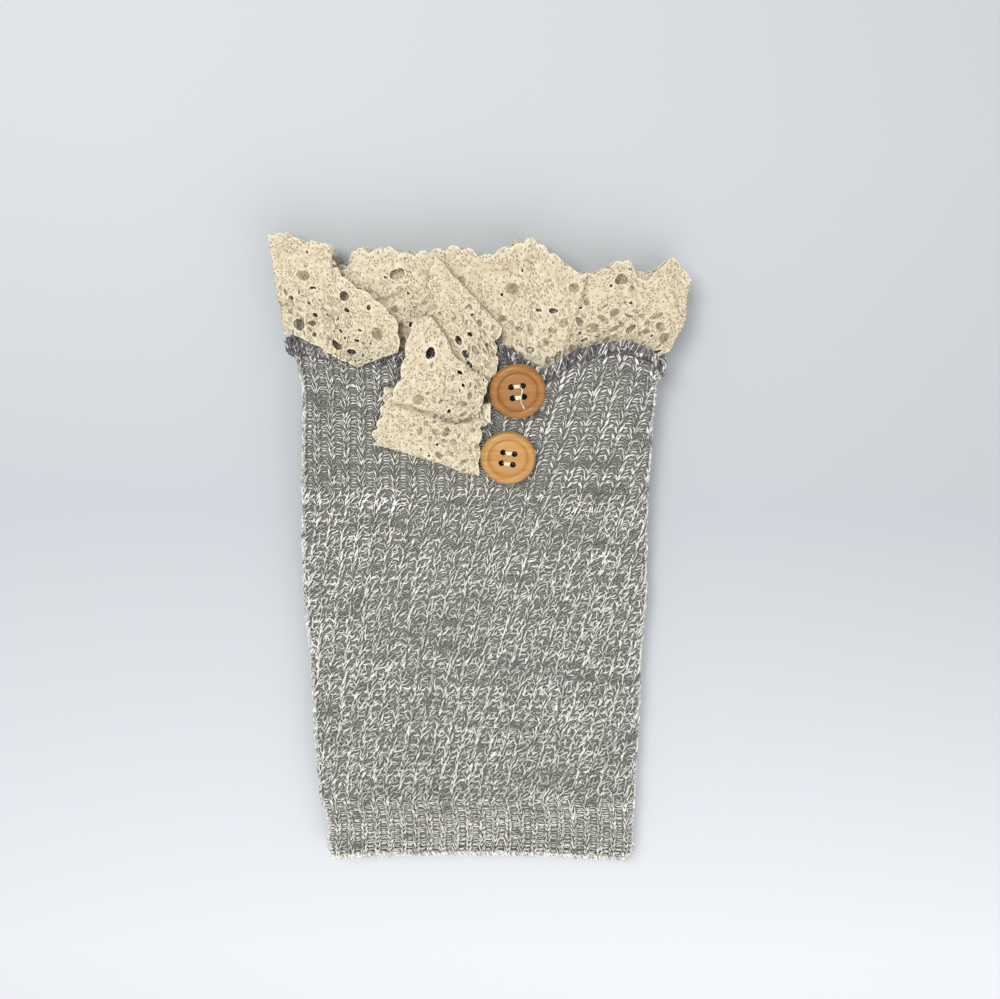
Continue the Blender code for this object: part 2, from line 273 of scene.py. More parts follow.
def strand_piece(name, batches, materials):
    """One piece from several batches of strands."""
    points, quads, fans, quad_slots, fan_slots = zip(*(strands(*batch) for batch in batches))
    bases = np.cumsum([0, *map(len, points[:-1])])
    faces = [np.concatenate([part + base for part, base in zip(kind, bases)]) for kind in (quads, fans)]
    slots = np.concatenate(quad_slots + fan_slots)
    return mesh_piece(name, np.concatenate(points), faces, materials, slots)


# --- materials


class Nodes:
    """A material's nodes. An input is set to a value, or linked where it is given another node's output."""

    def __init__(self, name, inputs):
        self.material = bpy.data.materials.new(name)
        self.material.use_nodes = True
        self.tree = self.material.node_tree
        self.shader = self.tree.nodes["Principled BSDF"]
        self.fill(self.shader, inputs)

    def fill(self, node, inputs):
        for key, value in inputs.items():
            if isinstance(value, bpy.types.NodeSocket):
                self.tree.links.new(value, node.inputs[key])
            else:
                node.inputs[key].default_value = value

    def add(self, kind, inputs, output=0, **settings):
        """A new node's output, or a list of them where output is a tuple of names."""
        node = self.tree.nodes.new("ShaderNode" + kind)
        for key, value in settings.items():
            setattr(node, key, value)
        self.fill(node, inputs)
        if isinstance(output, tuple):
            return [node.outputs[key] for key in output]
        return node.outputs[output]

    def noise(self, where, scale, detail, output="Fac"):
        return self.add("TexNoise", {"Vector": where, "Scale": scale, "Detail": detail}, output)

    def math(self, operation, *numbers):
        return self.add("Math", dict(enumerate(numbers)), operation=operation)

    def eased(self, value, low, high):
        inputs = {"Value": value, "From Min": low, "From Max": high}
        return self.add("MapRange", inputs, "Result", interpolation_type="SMOOTHSTEP")

    def mixed(self, share, first, second):
        """The mix of two colours, whose sockets are the Mix node's inputs 6 and 7 and its output 2."""
        return self.add("Mix", {"Factor": share, 6: first, 7: second}, 2, data_type="RGBA")

    def ramp(self, share, stops):
        """A colour for a share, between stops of place and colour."""
        node = self.tree.nodes.new("ShaderNodeValToRGB")
        ends = node.color_ramp.elements
        for end, (place, colour) in ((ends[0], stops[0]), (ends[1], stops[-1])):
            end.position, end.color = place, colour
        for place, colour in stops[1:-1]:
            ends.new(place).color = colour
        self.fill(node, {"Fac": share})
        return node.outputs["Color"]

    def finish(self, colour, height=None, strength=0.0, distance=0.0):
        """The material, with its colour and a bump by height."""
        self.fill(self.shader, {"Base Color": colour})
        if height:
            bump = self.add("Bump", {"Height": height, "Strength": strength, "Distance": distance})
            self.fill(self.shader, {"Normal": bump})
        return self.material


def yarn_material(name, red, green, blue):
    """Soft spun yarn: an uneven dye, with fibres in the bump."""
    n = Nodes(name, {
        "Roughness": 0.92, "Specular IOR Level": 0.25, "Sheen Weight": 0.25, "Sheen Roughness": 0.6,
    })
    where = n.add("TexCoord", {}, "Object")
    tones = display(red, green, blue)[:3]
    dyes = [(*(min(1.0, tone * share) for tone in tones), 1.0) for share in YARN_UNEVEN]
    colour = n.ramp(n.noise(where, 900.0, 2.0), list(zip((0.38, 0.62), dyes)))
    return n.finish(colour, n.noise(where, 2600.0, 2.0), 0.5, 0.0002)


def make_yarns(tones):
    return [yarn_material(*tone) for tone in tones]


# --- knitting

YARN_LIFT = -0.60  # the yarn's middle, from the face of the cloth's solid
SIDE_LIFT = (0.10, -0.45)  # how much further out it stands round the left and right folds

# How each zone of the cuff is knitted.
STITCHES = {
    # zone: strokes of yarn in each stitch, as
    # (count, across the column, up the course, angle, length, bow, radius, height, scatter, turn)
    "hem": (
        (2, 0.13, 0.00, 70, 2.3, 0.05, 0.26, 0.42, 0.10, 5),
        (2, 0.87, 0.00, 110, 2.3, -0.05, 0.26, 0.42, 0.10, 5),
        (1, 0.50, 0.10, 4, 2.6, 0.15, 0.24, 0.18, 0.15, 6),
        (1, 0.50, 0.60, -3, 2.4, 0.15, 0.24, 0.12, 0.15, 6),
    ),
    "body": (
        (2, 0.10, 0.00, 69, 3.1, 0.12, 0.26, 0.52, 0.38, 9),
        (1, 0.34, 0.30, 56, 2.9, -0.12, 0.26, 0.36, 0.50, 14),
        (2, 0.62, 0.20, 24, 2.4, -0.32, 0.24, 0.20, 0.55, 14),
        (1, 0.92, 0.10, 111, 2.2, 0.00, 0.26, 0.40, 0.38, 12),
        (1, 0.50, 0.50, 52, 2.6, 0.25, 0.23, 0.58, 1.20, 42),
    ),
    "top_left": (
        (2, 0.14, 0.00, 66, 2.5, 0.10, 0.23, 0.55, 0.14, 6),
        (2, 0.86, 0.00, 113, 2.5, -0.10, 0.23, 0.55, 0.14, 6),
        (1, 0.50, 0.05, 3, 2.3, 0.20, 0.25, 0.12, 0.14, 7),
        (1, 0.50, 0.55, -2, 2.1, 0.20, 0.22, 0.02, 0.14, 7),
    ),
    "top_right": (
        (2, 0.17, 0.00, 58, 2.9, 0.12, 0.27, 0.58, 0.18, 7),
        (2, 0.85, -0.05, 106, 2.3, -0.10, 0.26, 0.55, 0.18, 7),
        (1, 0.50, 0.10, 10, 2.4, 0.22, 0.26, 0.16, 0.18, 9),
        (1, 0.52, 0.60, 6, 2.2, 0.22, 0.23, 0.06, 0.18, 9),
    ),
}
MARL = {
    # zone: share of charcoal, share of charcoal and grey, share of cream, how alike a stitch's strokes are
    "hem": (0.03, 0.25, 0.105, 0.8),
    "body": (0.09, 0.35, 0.135, 0.55),
    "top_left": (0.21, 0.52, 0.03, 0.75),
    "top_right": (0.11, 0.48, 0.15, 0.85),
}
PLY_APART = 0.52
# How much the tone varies by course, stitch, patch and step of a stroke, and how it rises with height, a
# painted shade that gives the strokes lying deeper in the cloth darker tones.
COURSE_TONE, STITCH_TONE, PATCH_TONE, STEP_TONE = 0.6, 0.8, 0.35, 0.22
HEIGHT_SHADE, HEIGHT_LEVEL = 1.6, 0.4
LENGTH_SPREAD, BOW_SPREAD, RISE_SPREAD, THICK_SPREAD = 0.16, 0.12, 0.12, 0.14
WIGGLE = 0.05
STROKE_RISE, STROKE_DROP = 0.22, 0.45  # a stroke's middle over its height, and its ends under its middle
SILVER_TO = 3.3  # silver and cream together, in shares of cream
CREAM_THICKER = 0.30
CREAM_FROM = 3.2  # a stroke whose mean tone is over this counts as cream
TAPER = 0.6
STROKE_POINTS = 5
HEM_TOP = -88.0
BODY_TOP = 29.0
PLACKET_X = 3.0  # the top rib is finer to the left of it, and coarser and slanted to the right
COURSES = {"hem": 14, "body": 52, "top_left": 25, "top_right": 21}
BODY_PARTED = 26  # the course at which the body is parted into two pieces
COLUMNS = np.arange(-27, 20) * WALE + 0.4  # where each rib column starts at the hem
FOLD_REACH = 3.4  # how far past a side fold's start the loops go on
SIDES_ONLY = 47.0  # the lower cuff's loops start this far from its middle line


def wale_grid(rows_y, start, slope):
    """Where each rib column crosses each course, leaning by slope(girth, y)."""
    lines = [np.array(start, float)]
    for low, high in zip(rows_y[:-1], rows_y[1:]):
        lines.append(lines[-1] + slope(lines[-1], (low + high) / 2) * (high - low))
    return np.array(lines)


def drifting(rng, courses, wales, reach):
    """Noise that changes slowly along each course, with a spread of about 1."""
    rough = rng.normal(size=(courses, wales + 2 * reach))
    kernel = np.hanning(2 * reach + 3)[1:-1]
    kernel /= np.sqrt((kernel**2).sum())
    return np.array([np.convolve(row, kernel, mode="valid") for row in rough])


def knit_patch(rows_y, girths, zone, rest, rng, keep):
    """The strands of a patch of knitting, where keep(girth, y) says which stitches belong to it."""
    charcoal, grey, cream, together = MARL[zone]
    courses, wales = girths.shape
    course, wale = np.indices((courses - 1, wales - 1)).reshape(2, -1)
    inside = keep(girths[course, wale] + WALE / 2, rows_y[course])
    course, wale = course[inside], wale[inside]
    start, y0 = girths[course, wale], rows_y[course]
    count = len(start)
    wide = girths[course, wale + 1] - start
    lean = girths[course + 1, wale] - start
    tall = rows_y[course + 1] - y0
    yarn = COURSE_TONE * drifting(rng, courses, wales + 2, 1)[course, wale]
    yarn = yarn + STITCH_TONE * rng.normal(size=count)
    patch = drifting(rng, courses, wales + 2, 4)[course, wale] * PATCH_TONE
    share = np.linspace(-1, 1, STROKE_POINTS)[None]
    batches = []
    for number, across, up, angle, length, bow, radius, height, scatter, turn in STITCHES[zone]:
        for ply in range(number):
            own = rng.normal(size=(count, 8))
            side = (ply - (number - 1) / 2) * PLY_APART
            way = np.radians(angle + turn * own[:, 0])
            u = across + (scatter * own[:, 1] - side * np.sin(way)) / wide
            v = up + (scatter * own[:, 2] + side * np.cos(way)) / tall
            middle_x, middle_y = start + u * wide + v * lean, y0 + v * tall
            reach = 0.5 * length * (1 + LENGTH_SPREAD * own[:, 3])
            curve = (bow + BOW_SPREAD * own[:, 4])[:, None] * (1 - share**2)
            way, reach = way[:, None], reach[:, None]
            wiggle = WIGGLE * rng.normal(size=(count, STROKE_POINTS))
            girth = middle_x[:, None] + reach * share * np.cos(way) - (curve + wiggle) * np.sin(way)
            y = middle_y[:, None] + reach * share * np.sin(way) + (curve + wiggle) * np.cos(way)
            left, right = tube_sides(y)
            round_fold = smooth(-4.0, 2.0, np.abs(girth) - (right - left) / 2)
            at_side = round_fold * np.where(girth > 0, SIDE_LIFT[1], SIDE_LIFT[0])
            arch = (height + RISE_SPREAD * own[:, 5])[:, None] + STROKE_RISE - STROKE_DROP * share**2
            points, ups = tube_point(girth, y, YARN_LIFT + arch + at_side, rest)
            points[..., 2] = np.maximum(points[..., 2], radius)
            # A value for each step of each stroke; its rank among them all picks the tone.
            tone = together * yarn + patch + (1 - 0.5 * together) * own[:, 6]
            # Painted shade: the lower a stroke lies in the stitch, the darker its tone.
            tone = tone + HEIGHT_SHADE * (height - HEIGHT_LEVEL)
            value = tone[:, None] + STEP_TONE * rng.normal(size=(count, STROKE_POINTS - 1))
            cuts = np.quantile(value, [charcoal, grey, 1 - SILVER_TO * cream, 1 - cream])
            slots = np.searchsorted(cuts, value)
            creamy = slots.mean(1) > CREAM_FROM
            thick = radius * (1 + THICK_SPREAD * own[:, 7]) * (1 + CREAM_THICKER * creamy)
            radii = np.clip(thick, 0.6 * radius, 1.8 * radius)[:, None] * (1 - TAPER * share**4)
            batches.append((points, radii, ups, slots))
    return batches


def no_slope(girth, y):
    """Columns that stand straight."""
    return np.zeros_like(girth)


def body_slope(girth, y):
    """How far the body's columns lean: from the hem up, and more to the right."""
    return smooth(HEM_TOP - 2, HEM_TOP + 14, y) * (0.13 + 0.15 * smooth(-50, 30, girth))


def top_slope(girth, y):
    """How far the right part of the top rib leans."""
    return 0.20 * smooth(-6, 16, girth) + 0.05 * smooth(16, 50, girth)


def knit_loops(which, rest, yarns, seed, inner_reach):
    """The yarn loops over a tube's front and round its side folds."""
    rng = np.random.default_rng(seed)

    def reach(girth, y):
        left, right = tube_sides(y)
        return (np.abs(girth) < (right - left) / 2 + FOLD_REACH) & (np.abs(girth) > inner_reach)

    def grid(zone, low, high, start, slope):
        rows_y = np.linspace(low, high, COURSES[zone])
        return rows_y, wale_grid(rows_y, start, slope)

    hem_rows, hem = grid("hem", HEM_Y - 0.3, HEM_TOP, COLUMNS, no_slope)
    body_rows, body = grid("body", HEM_TOP, BODY_TOP, hem[-1], body_slope)
    left_rows, left = grid("top_left", BODY_TOP, TOP_EDGE_Y, body[-1], no_slope)
    right_rows, right = grid("top_right", BODY_TOP, TOP_EDGE_Y, body[-1], top_slope)
    low, high = slice(BODY_PARTED + 1), slice(BODY_PARTED, None)
    zones = (
        ("hem_rib", [("hem", hem_rows, hem, reach)]),
        ("body_knit_low", [("body", body_rows[low], body[low], reach)]),
        ("body_knit_high", [("body", body_rows[high], body[high], reach)]),
        ("top_rib", [
            ("top_left", left_rows, left, lambda g, y: reach(g, y) & (g < PLACKET_X)),
            ("top_right", right_rows, right, lambda g, y: reach(g, y) & (g >= PLACKET_X)),
        ]),
    )
    made = []
    for name, patches in zones:
        batches = []
        for zone, rows_y, girths, keep in patches:
            batches += knit_patch(rows_y, girths, zone, rest, rng, keep)
        piece = strand_piece(f"{which}_{name}", batches, yarns)
        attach(piece, "root")
        made.append(piece)
    return made


def ring_at(row_y, lift, rest, steps=(20, 10, 44)):
    """Points round the tube on one row, from the back's middle line and back to it."""
    left, right = tube_sides(row_y)
    half_slit = float(slit_at(row_y)) / 2
    flat = (right - left) / 2 - half_slit - KNIT_WALL
    corner = math.pi * (half_slit + KNIT_WALL)
    back, side, front = steps
    stops = -2 * flat - corner, -flat - corner, -flat, flat, flat + corner, flat + corner + flat
    around = np.concatenate([
        np.linspace(low, high, count, endpoint=False)
        for low, high, count in zip(stops, stops[1:], (back, side, front, side, back))
    ])
    points, ways = tube_point(around, np.full_like(around, row_y), lift, rest)
    return points, ways, around


SHELL_INSET = 0.9  # from the CAD wall's face
SHELL_WALL = 0.8


def knit_shell(which, rest, material):
    """The cloth under the loops: a thin flattened tube inside the CAD wall, open at both ends."""
    rows_y = np.concatenate([np.linspace(HEM_Y + 0.5, 50, 34), np.linspace(53, TOP_EDGE_Y - 0.6, 9)])
    points, spots = [], []
    for inset in (SHELL_INSET, SHELL_INSET + SHELL_WALL):
        for row_y in rows_y:
            ring, _, around = ring_at(row_y, -inset, rest)
            points.append(ring)
            spots.append(np.column_stack([around, np.full_like(around, row_y)]))
    rows, count = len(rows_y), len(points[0])
    index = np.arange(2 * rows * count).reshape(2, rows, count)
    after = np.roll(index, -1, axis=2)
    outer = np.stack([index[0, :-1], index[0, 1:], after[0, 1:], after[0, :-1]], -1).reshape(-1, 4)
    inner = np.stack([index[1, :-1], after[1, :-1], after[1, 1:], index[1, 1:]], -1).reshape(-1, 4)
    low = np.stack([index[0, 0], after[0, 0], after[1, 0], index[1, 0]], -1)
    high = np.stack([index[0, -1], index[1, -1], after[1, -1], after[0, -1]], -1)
    faces = [quads[:, ::-1] for quads in (outer, inner, low, high)]
    uv = np.concatenate(spots) / 10
    shell = mesh_piece(f"{which}_knit_shell", np.concatenate(points), faces, [material], uv=uv)
    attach(shell, "root")
    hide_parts(f"{which}_knit_tube")
    return shell


CAST_ON_PITCH = 1.05
CAST_ON_LOOP = 0.95
CAST_ON_RADIUS = 0.30
CAST_ON_SHARES = (0.0, 0.12, 0.22, 0.26, 0.40)  # of each tone of yarn
LOOP_PITCH = 0.60
LOOP_LEAN = 2.3
LOOP_DEPTH = 3.3
LOOP_RADIUS = 0.27
LEAN_SPREAD, DEPTH_SPREAD, WANDER, OUT_SPREAD = 0.7, 0.5, 0.20, 0.25
LAYER_OUT = 0.14  # how much further out the second layer of loops lies
LOOP_POINTS = 9
# The loop's way over the edge: its share, and how far down it is as a share of its depth, or how far out.
LOOP_DROPS = ((0, 1), (0.5, 0.12), (0.62, -0.06), (0.75, 0.05), (1, 0.45))
LOOP_OUTS = ((0, -0.35), (0.2, 0.25), (0.5, 0.30), (0.62, -0.6), (0.8, -1.9), (1, -2.0))
LOOP_SHARES = (0.22, 0.34, 0.24, 0.20)  # of each tone of thread
CHAIN_PITCH = 1.3
CHAIN_RADIUS = 0.26
CHAIN_SHARES = (0.5, 0.35, 0.15)


def spaced(ring, pitch):
    """How far round each point of the ring is, and spots this far apart."""
    length = np.concatenate([[0], np.cumsum(np.linalg.norm(np.diff(ring, axis=0), axis=1))])
    return length, np.arange(0, length[-1], pitch)


def one_tone(rng, shares, count, steps):
    """A slot for each step of each strand: one tone a strand, drawn by the tones' shares."""
    return rng.choice(len(shares), size=(count, 1), p=shares) + np.zeros((1, steps), int)


def edge_cord(which, rest, yarns, seed):
    """The cast-on edge: a chain of small loops along the hem, leaning round its wall."""
    rng = np.random.default_rng(seed)
    ring, ways, _ = ring_at(HEM_Y, 0.0, rest)
    length, spots = spaced(ring, CAST_ON_PITCH)
    middle = np.column_stack([np.interp(spots, length, column) for column in ring.T])
    way = np.column_stack([np.interp(spots, length, column) for column in ways.T])
    way /= np.linalg.norm(way, axis=1, keepdims=True)
    run = np.gradient(middle, axis=0)
    run /= np.linalg.norm(run, axis=1, keepdims=True)
    down = np.cross(run, way)
    down *= -np.sign(down[:, 1:2])
    batches = []
    count, turns = len(spots), np.linspace(-0.35, 1.15, 8) * math.pi
    for ply in range(2):
        size = 1 + 0.15 * rng.normal(size=(count, 1))
        lean = (turns[None] / math.pi - 0.4) * (1.5 + 0.4 * rng.normal(size=(count, 1))) + 0.35 * ply
        out = CAST_ON_LOOP * np.cos(turns)[None] * size - 1.0
        drop = 1.0 * np.sin(turns)[None] * size + 0.6
        lines = (
            middle[:, None] + way[:, None] * out[..., None] + down[:, None] * drop[..., None]
            + run[:, None] * lean[..., None]
        )
        lines[..., 2] = np.maximum(lines[..., 2], 0.4)
        radii = CAST_ON_RADIUS * size + 0.03 * rng.normal(size=(count, 8))
        ups = np.broadcast_to(way[:, None], lines.shape)
        slots = one_tone(rng, CAST_ON_SHARES, count, 7)
        batches.append((lines, np.clip(radii, 0.2, 0.38), ups, slots))
    piece = strand_piece(f"{which}_cast_on_edge", batches, yarns)
    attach(piece, "root")
    return piece


def overlocking(which, rest, threads, seed):
    """The overlocked top edge: slanting loops of thread over the edge, and a chain along their feet."""
    rng = np.random.default_rng(seed)
    ring, _, around = ring_at(TOP_EDGE_Y, 0.0, rest, steps=(40, 14, 120))
    length, spots = spaced(ring, LOOP_PITCH)
    girth = np.interp(spots, length, around)
    count = len(spots)
    share = np.linspace(0, 1, LOOP_POINTS)
    batches = []
    for layer in range(2):
        lean = LOOP_LEAN + LEAN_SPREAD * rng.normal(size=(count, 1))
        depth = LOOP_DEPTH + DEPTH_SPREAD * rng.normal(size=(count, 1))
        drop = np.interp(share, *np.transpose(LOOP_DROPS))[None] * depth
        out = np.interp(share, *np.transpose(LOOP_OUTS))[None]
        out = out + WANDER * rng.normal(size=(count, LOOP_POINTS))
        out = out + LAYER_OUT * layer + OUT_SPREAD * rng.normal(size=(count, 1))
        g = girth[:, None] + (share[None] - 0.5) * lean * (1 if layer else -0.6)
        points, ups = tube_point(g, np.full_like(g, TOP_EDGE_Y), out, rest)
        points[..., 1] -= drop - 0.3
        lumpy = 0.5 + rng.uniform(size=(count, 1)) ** 2 + 0.25 * rng.normal(size=(count, LOOP_POINTS))
        slots = one_tone(rng, LOOP_SHARES, count, LOOP_POINTS - 1)
        points[..., 2] = np.maximum(points[..., 2], 0.45)
        batches.append((points, np.clip(LOOP_RADIUS * lumpy, 0.13, 0.45), ups, slots))
    chain = np.arange(0, length[-1], CHAIN_PITCH)
    g = np.interp(chain, length, around)[:, None] + np.linspace(-0.2, 1.9, 7)[None]
    drop = LOOP_DEPTH + 0.35 * np.sin(np.linspace(0, 2 * math.pi, 7))[None]
    drop = drop + 0.25 * rng.normal(size=(len(chain), 1))
    out = 0.1 + 0.2 * np.sin(np.linspace(0, math.pi, 7))[None] + 0 * g
    points, ups = tube_point(g, np.full_like(g, TOP_EDGE_Y), out, rest)
    points[..., 1] -= drop
    slots = one_tone(rng, CHAIN_SHARES, len(chain), 6)
    points[..., 2] = np.maximum(points[..., 2], 0.3)
    batches.append((points, np.full(g.shape, CHAIN_RADIUS), ups, slots))
    piece = strand_piece(f"{which}_overlocked_edge", batches, threads)
    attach(piece, "root")
    return piece


# --- lace

LACE_WIDTH = 37.0
LACE_REPEAT = 18.5
LACE_HALF = 0.27
LACE_LAYER = 1.0
FINE_CELL, COARSE_CELL = 0.42, 0.8  # the mesh of the lace that shows, and of the hidden lace
FOLD_PITCH = 1.5
FOLD_STEPS = 9
SCALLOP_SHIFT = 3.0
LEAN = 1.7
ROUND_HOLE_AT = 14.4  # along the repeat
ROUND_HOLE_RISE = 25.2
EYELET_CLEAR = 0.7  # between an eyelet and a charted opening
ROUND_HALF = 1.2  # charted openings wider than this are left to the eyelets, where there are any
SNAP_SHARE = 0.55  # of a cell: the reach within which a point moves onto an opening's edge
CORD_RISE, CORD_REACH = 0.24, 0.42  # round an opening
RIM_RISE, RIM_REACH, HEADING_REACH = 0.28, 0.7, 0.6  # along the free edge and the heading
PIT_SINK = 0.42  # the depth of an opening that isn't cut through
CRUMPLE_PITCHES, CRUMPLE = (3.4, 4.6, 6.5, 8.8), 0.022  # CRUMPLE is a share of the pitch
HEADING_PITCH, HEADING_SWELL = 5.3, 7.7  # of the heading's wave, and of its slow swell
LACE_UNEVEN = 0.03

PLACE_SPREAD, SIZE_SPREAD, TILT_SPREAD = 0.35, 0.12, 12  # of the charted openings
SIZE_FALL = 0.22  # how much smaller they are at the round holes' height than at the heading
END_MARGIN = 2.2  # no charted opening this near a stretch's ends

# The openings of one repeat of the lace, charted from the heading up to the scallops.
LACE_CHART = (
    # along, up, length, height, tilt in degrees
    (14.4, 25.2, 4.6, 3.8, 0),
    (10.9, 23.3, 1.1, 1.1, 0),
    (17.2, 28.7, 1.1, 1.1, 0),
    (17.7, 22.5, 2.4, 1.2, 20),
    (0.6, 20.4, 1.1, 1.4, 0),
    (17.4, 18.6, 1.2, 0.9, 0),
    (1.6, 17.6, 2.4, 1.0, -30),
    (15.2, 17.4, 1.0, 1.7, 15),
    (16.4, 14.6, 1.2, 1.2, 0),
    (0.4, 14.8, 2.3, 1.2, -10),
    (3.9, 16.6, 2.0, 1.4, 20),
    (4.6, 13.4, 1.8, 1.1, 35),
    (8.0, 13.2, 3.6, 2.0, 25),
    (12.2, 14.6, 3.0, 2.3, 20),
    (8.4, 17.4, 2.6, 1.4, 25),
    (5.7, 9.8, 3.4, 2.4, -10),
    (10.6, 9.6, 1.5, 1.3, 0),
    (14.6, 11.6, 1.8, 1.8, 0),
    (17.8, 10.2, 1.8, 1.8, 0),
    (2.2, 11.2, 1.8, 1.5, 0),
    (1.4, 7.6, 2.7, 1.5, 15),
    (10.4, 5.9, 2.4, 4.4, -25),
    (14.4, 6.6, 2.2, 3.4, 12),
    (17.6, 5.6, 2.0, 3.0, -8),
    (6.2, 5.6, 2.2, 2.8, 20),
    (2.6, 3.6, 2.4, 1.7, 0),
    (7.2, 2.4, 2.3, 1.3, 0),
    (11.6, 2.2, 2.0, 1.3, 0),
    (15.8, 2.6, 2.6, 1.4, 0),
)

# The strip's rows, a table for each stretch. A height is over what the stretch stands on.
LEFT_FRONT = (
    # heading x, y, height, free edge x, y, height
    (-61.6, 80.6, 0.2, -65.6, 110.2, -1.0),
    (-58.6, 80.4, 1.2, -60.6, 110.9, -0.2),
    (-54.0, 78.6, 2.0, -54.6, 109.2, 0.8),
    (-49.0, 76.2, 2.2, -48.2, 107.4, 0.4),
    (-44.6, 73.4, 2.0, -43.2, 100.0, 0.6),
    (-42.2, 72.4, 1.7, -34.4, 93.0, 1.6),
    (-40.6, 71.8, 1.6, -28.2, 87.8, 2.2),
    (-39.4, 71.2, 1.6, -25.0, 81.6, 2.0),
    (-38.4, 70.8, 1.6, -25.4, 75.4, 1.8),
)
MIDDLE_FRONT = (
    # heading x, y, height, free edge x, y, height
    (-46.0, 72.0, 0.7, -46.8, 99.4, 0.8),
    (-41.0, 71.0, 0.7, -42.0, 100.4, 0.9),
    (-36.0, 70.4, 0.7, -38.2, 107.6, 2.3),
    (-31.0, 70.0, 0.7, -33.4, 105.4, 1.4),
    (-26.0, 70.0, 0.7, -28.4, 107.0, 1.6),
    (-18.0, 71.0, 0.7, -19.0, 105.8, 1.6),
    (-10.0, 73.0, 0.7, -11.0, 106.0, 2.4),
)
RIGHT_FRONT = (
    # heading x, y, height, free edge x, y, height
    (-7.0, 73.4, 0.7, -12.4, 106.0, 1.0),
    (-1.6, 73.8, 0.7, -4.4, 107.6, 1.8),
    (3.0, 74.0, 0.7, 1.8, 104.8, 1.0),
    (9.0, 70.0, 0.7, 9.2, 107.6, 2.2),
    (17.0, 66.0, 0.7, 16.4, 110.8, 3.4),
    (25.0, 66.6, 0.7, 24.0, 104.0, 2.6),
    (30.6, 70.6, 0.7, 31.6, 100.6, 0.8),
    (37.0, 72.4, 0.7, 38.6, 101.0, 2.4),
    (44.0, 73.4, 0.7, 45.6, 103.6, 3.2),
    (50.2, 73.2, 0.7, 52.0, 98.6, 0.9),
    (54.6, 73.6, 0.7, 60.0, 103.4, 2.4),
    (59.0, 76.4, 0.8, 66.8, 98.2, 1.0),
)
BACK = (
    # heading x, y, height, free edge x, y, height
    (58.4, 78.2, -0.8, 64.6, 97.0, -1.0),
    (55.2, 77.0, -0.7, 58.8, 100.4, -1.4),
    (48.0, 72.6, -0.7, 50.0, 100.4, -0.8),
    (36.0, 72.0, -0.7, 37.6, 99.2, -2.2),
    (25.0, 71.0, -0.7, 26.0, 100.2, -0.9),
    (12.0, 71.0, -0.7, 12.0, 103.4, -2.2),
    (-2.0, 72.0, -0.7, -2.0, 100.6, -0.9),
    (-15.0, 72.0, -0.7, -16.0, 103.2, -2.3),
    (-28.0, 71.0, -0.7, -29.0, 102.2, -0.9),
    (-41.0, 71.0, -0.7, -43.0, 101.6, -2.3),
    (-52.0, 72.4, -0.7, -55.0, 104.4, -0.9),
    (-57.4, 77.6, -0.7, -63.4, 107.6, -1.6),
)
CASCADE = (
    # the panel's level in folds, rows of heading x, y, free edge x, y
    (0, ((7.2, 83.2, -12.6, 104.2), (4.8, 79.4, -15.6, 99.6), (5.0, 75.8, -15.4, 95.0),
         (5.6, 71.0, -12.8, 87.8), (2.4, 65.2, -17.4, 79.6))),
    (1, ((2.4, 65.2, -17.4, 79.6), (2.4, 67.0, -20.8, 82.0))),
    (2, ((2.4, 67.0, -20.8, 82.0), (1.8, 62.8, -22.2, 75.6), (0.4, 59.2, -24.0, 69.0),
         (-1.0, 55.6, -29.0, 60.0))),
    (1, ((-1.0, 55.6, -29.0, 60.0), (3.4, 54.4, -29.4, 62.0), (2.6, 59.4, -29.2, 63.8))),
    (0, ((2.6, 59.4, -29.2, 63.8), (0.2, 51.0, -31.6, 57.0), (-0.4, 42.6, -33.2, 49.6),
         (-0.8, 35.2, -33.6, 45.0))),
)

# Where the round openings show, as x, y on each stretch.
LEFT_ROUNDS = ((-56.8, 99.3), (-42.8, 92.4), (-31.9, 81.1))
MIDDLE_ROUNDS = ((-42.8, 95.0), (-25.8, 100.2))
RIGHT_ROUNDS = ((-8.0, 96.0), (10.4, 95.2), (29.4, 95.5), (44.6, 97.7), (59.0, 93.0))
BACK_ROUNDS = tuple((x, 97.0) for x in (54.0, 36.0, 16.0, -4.0, -22.0, -40.0, -56.0))

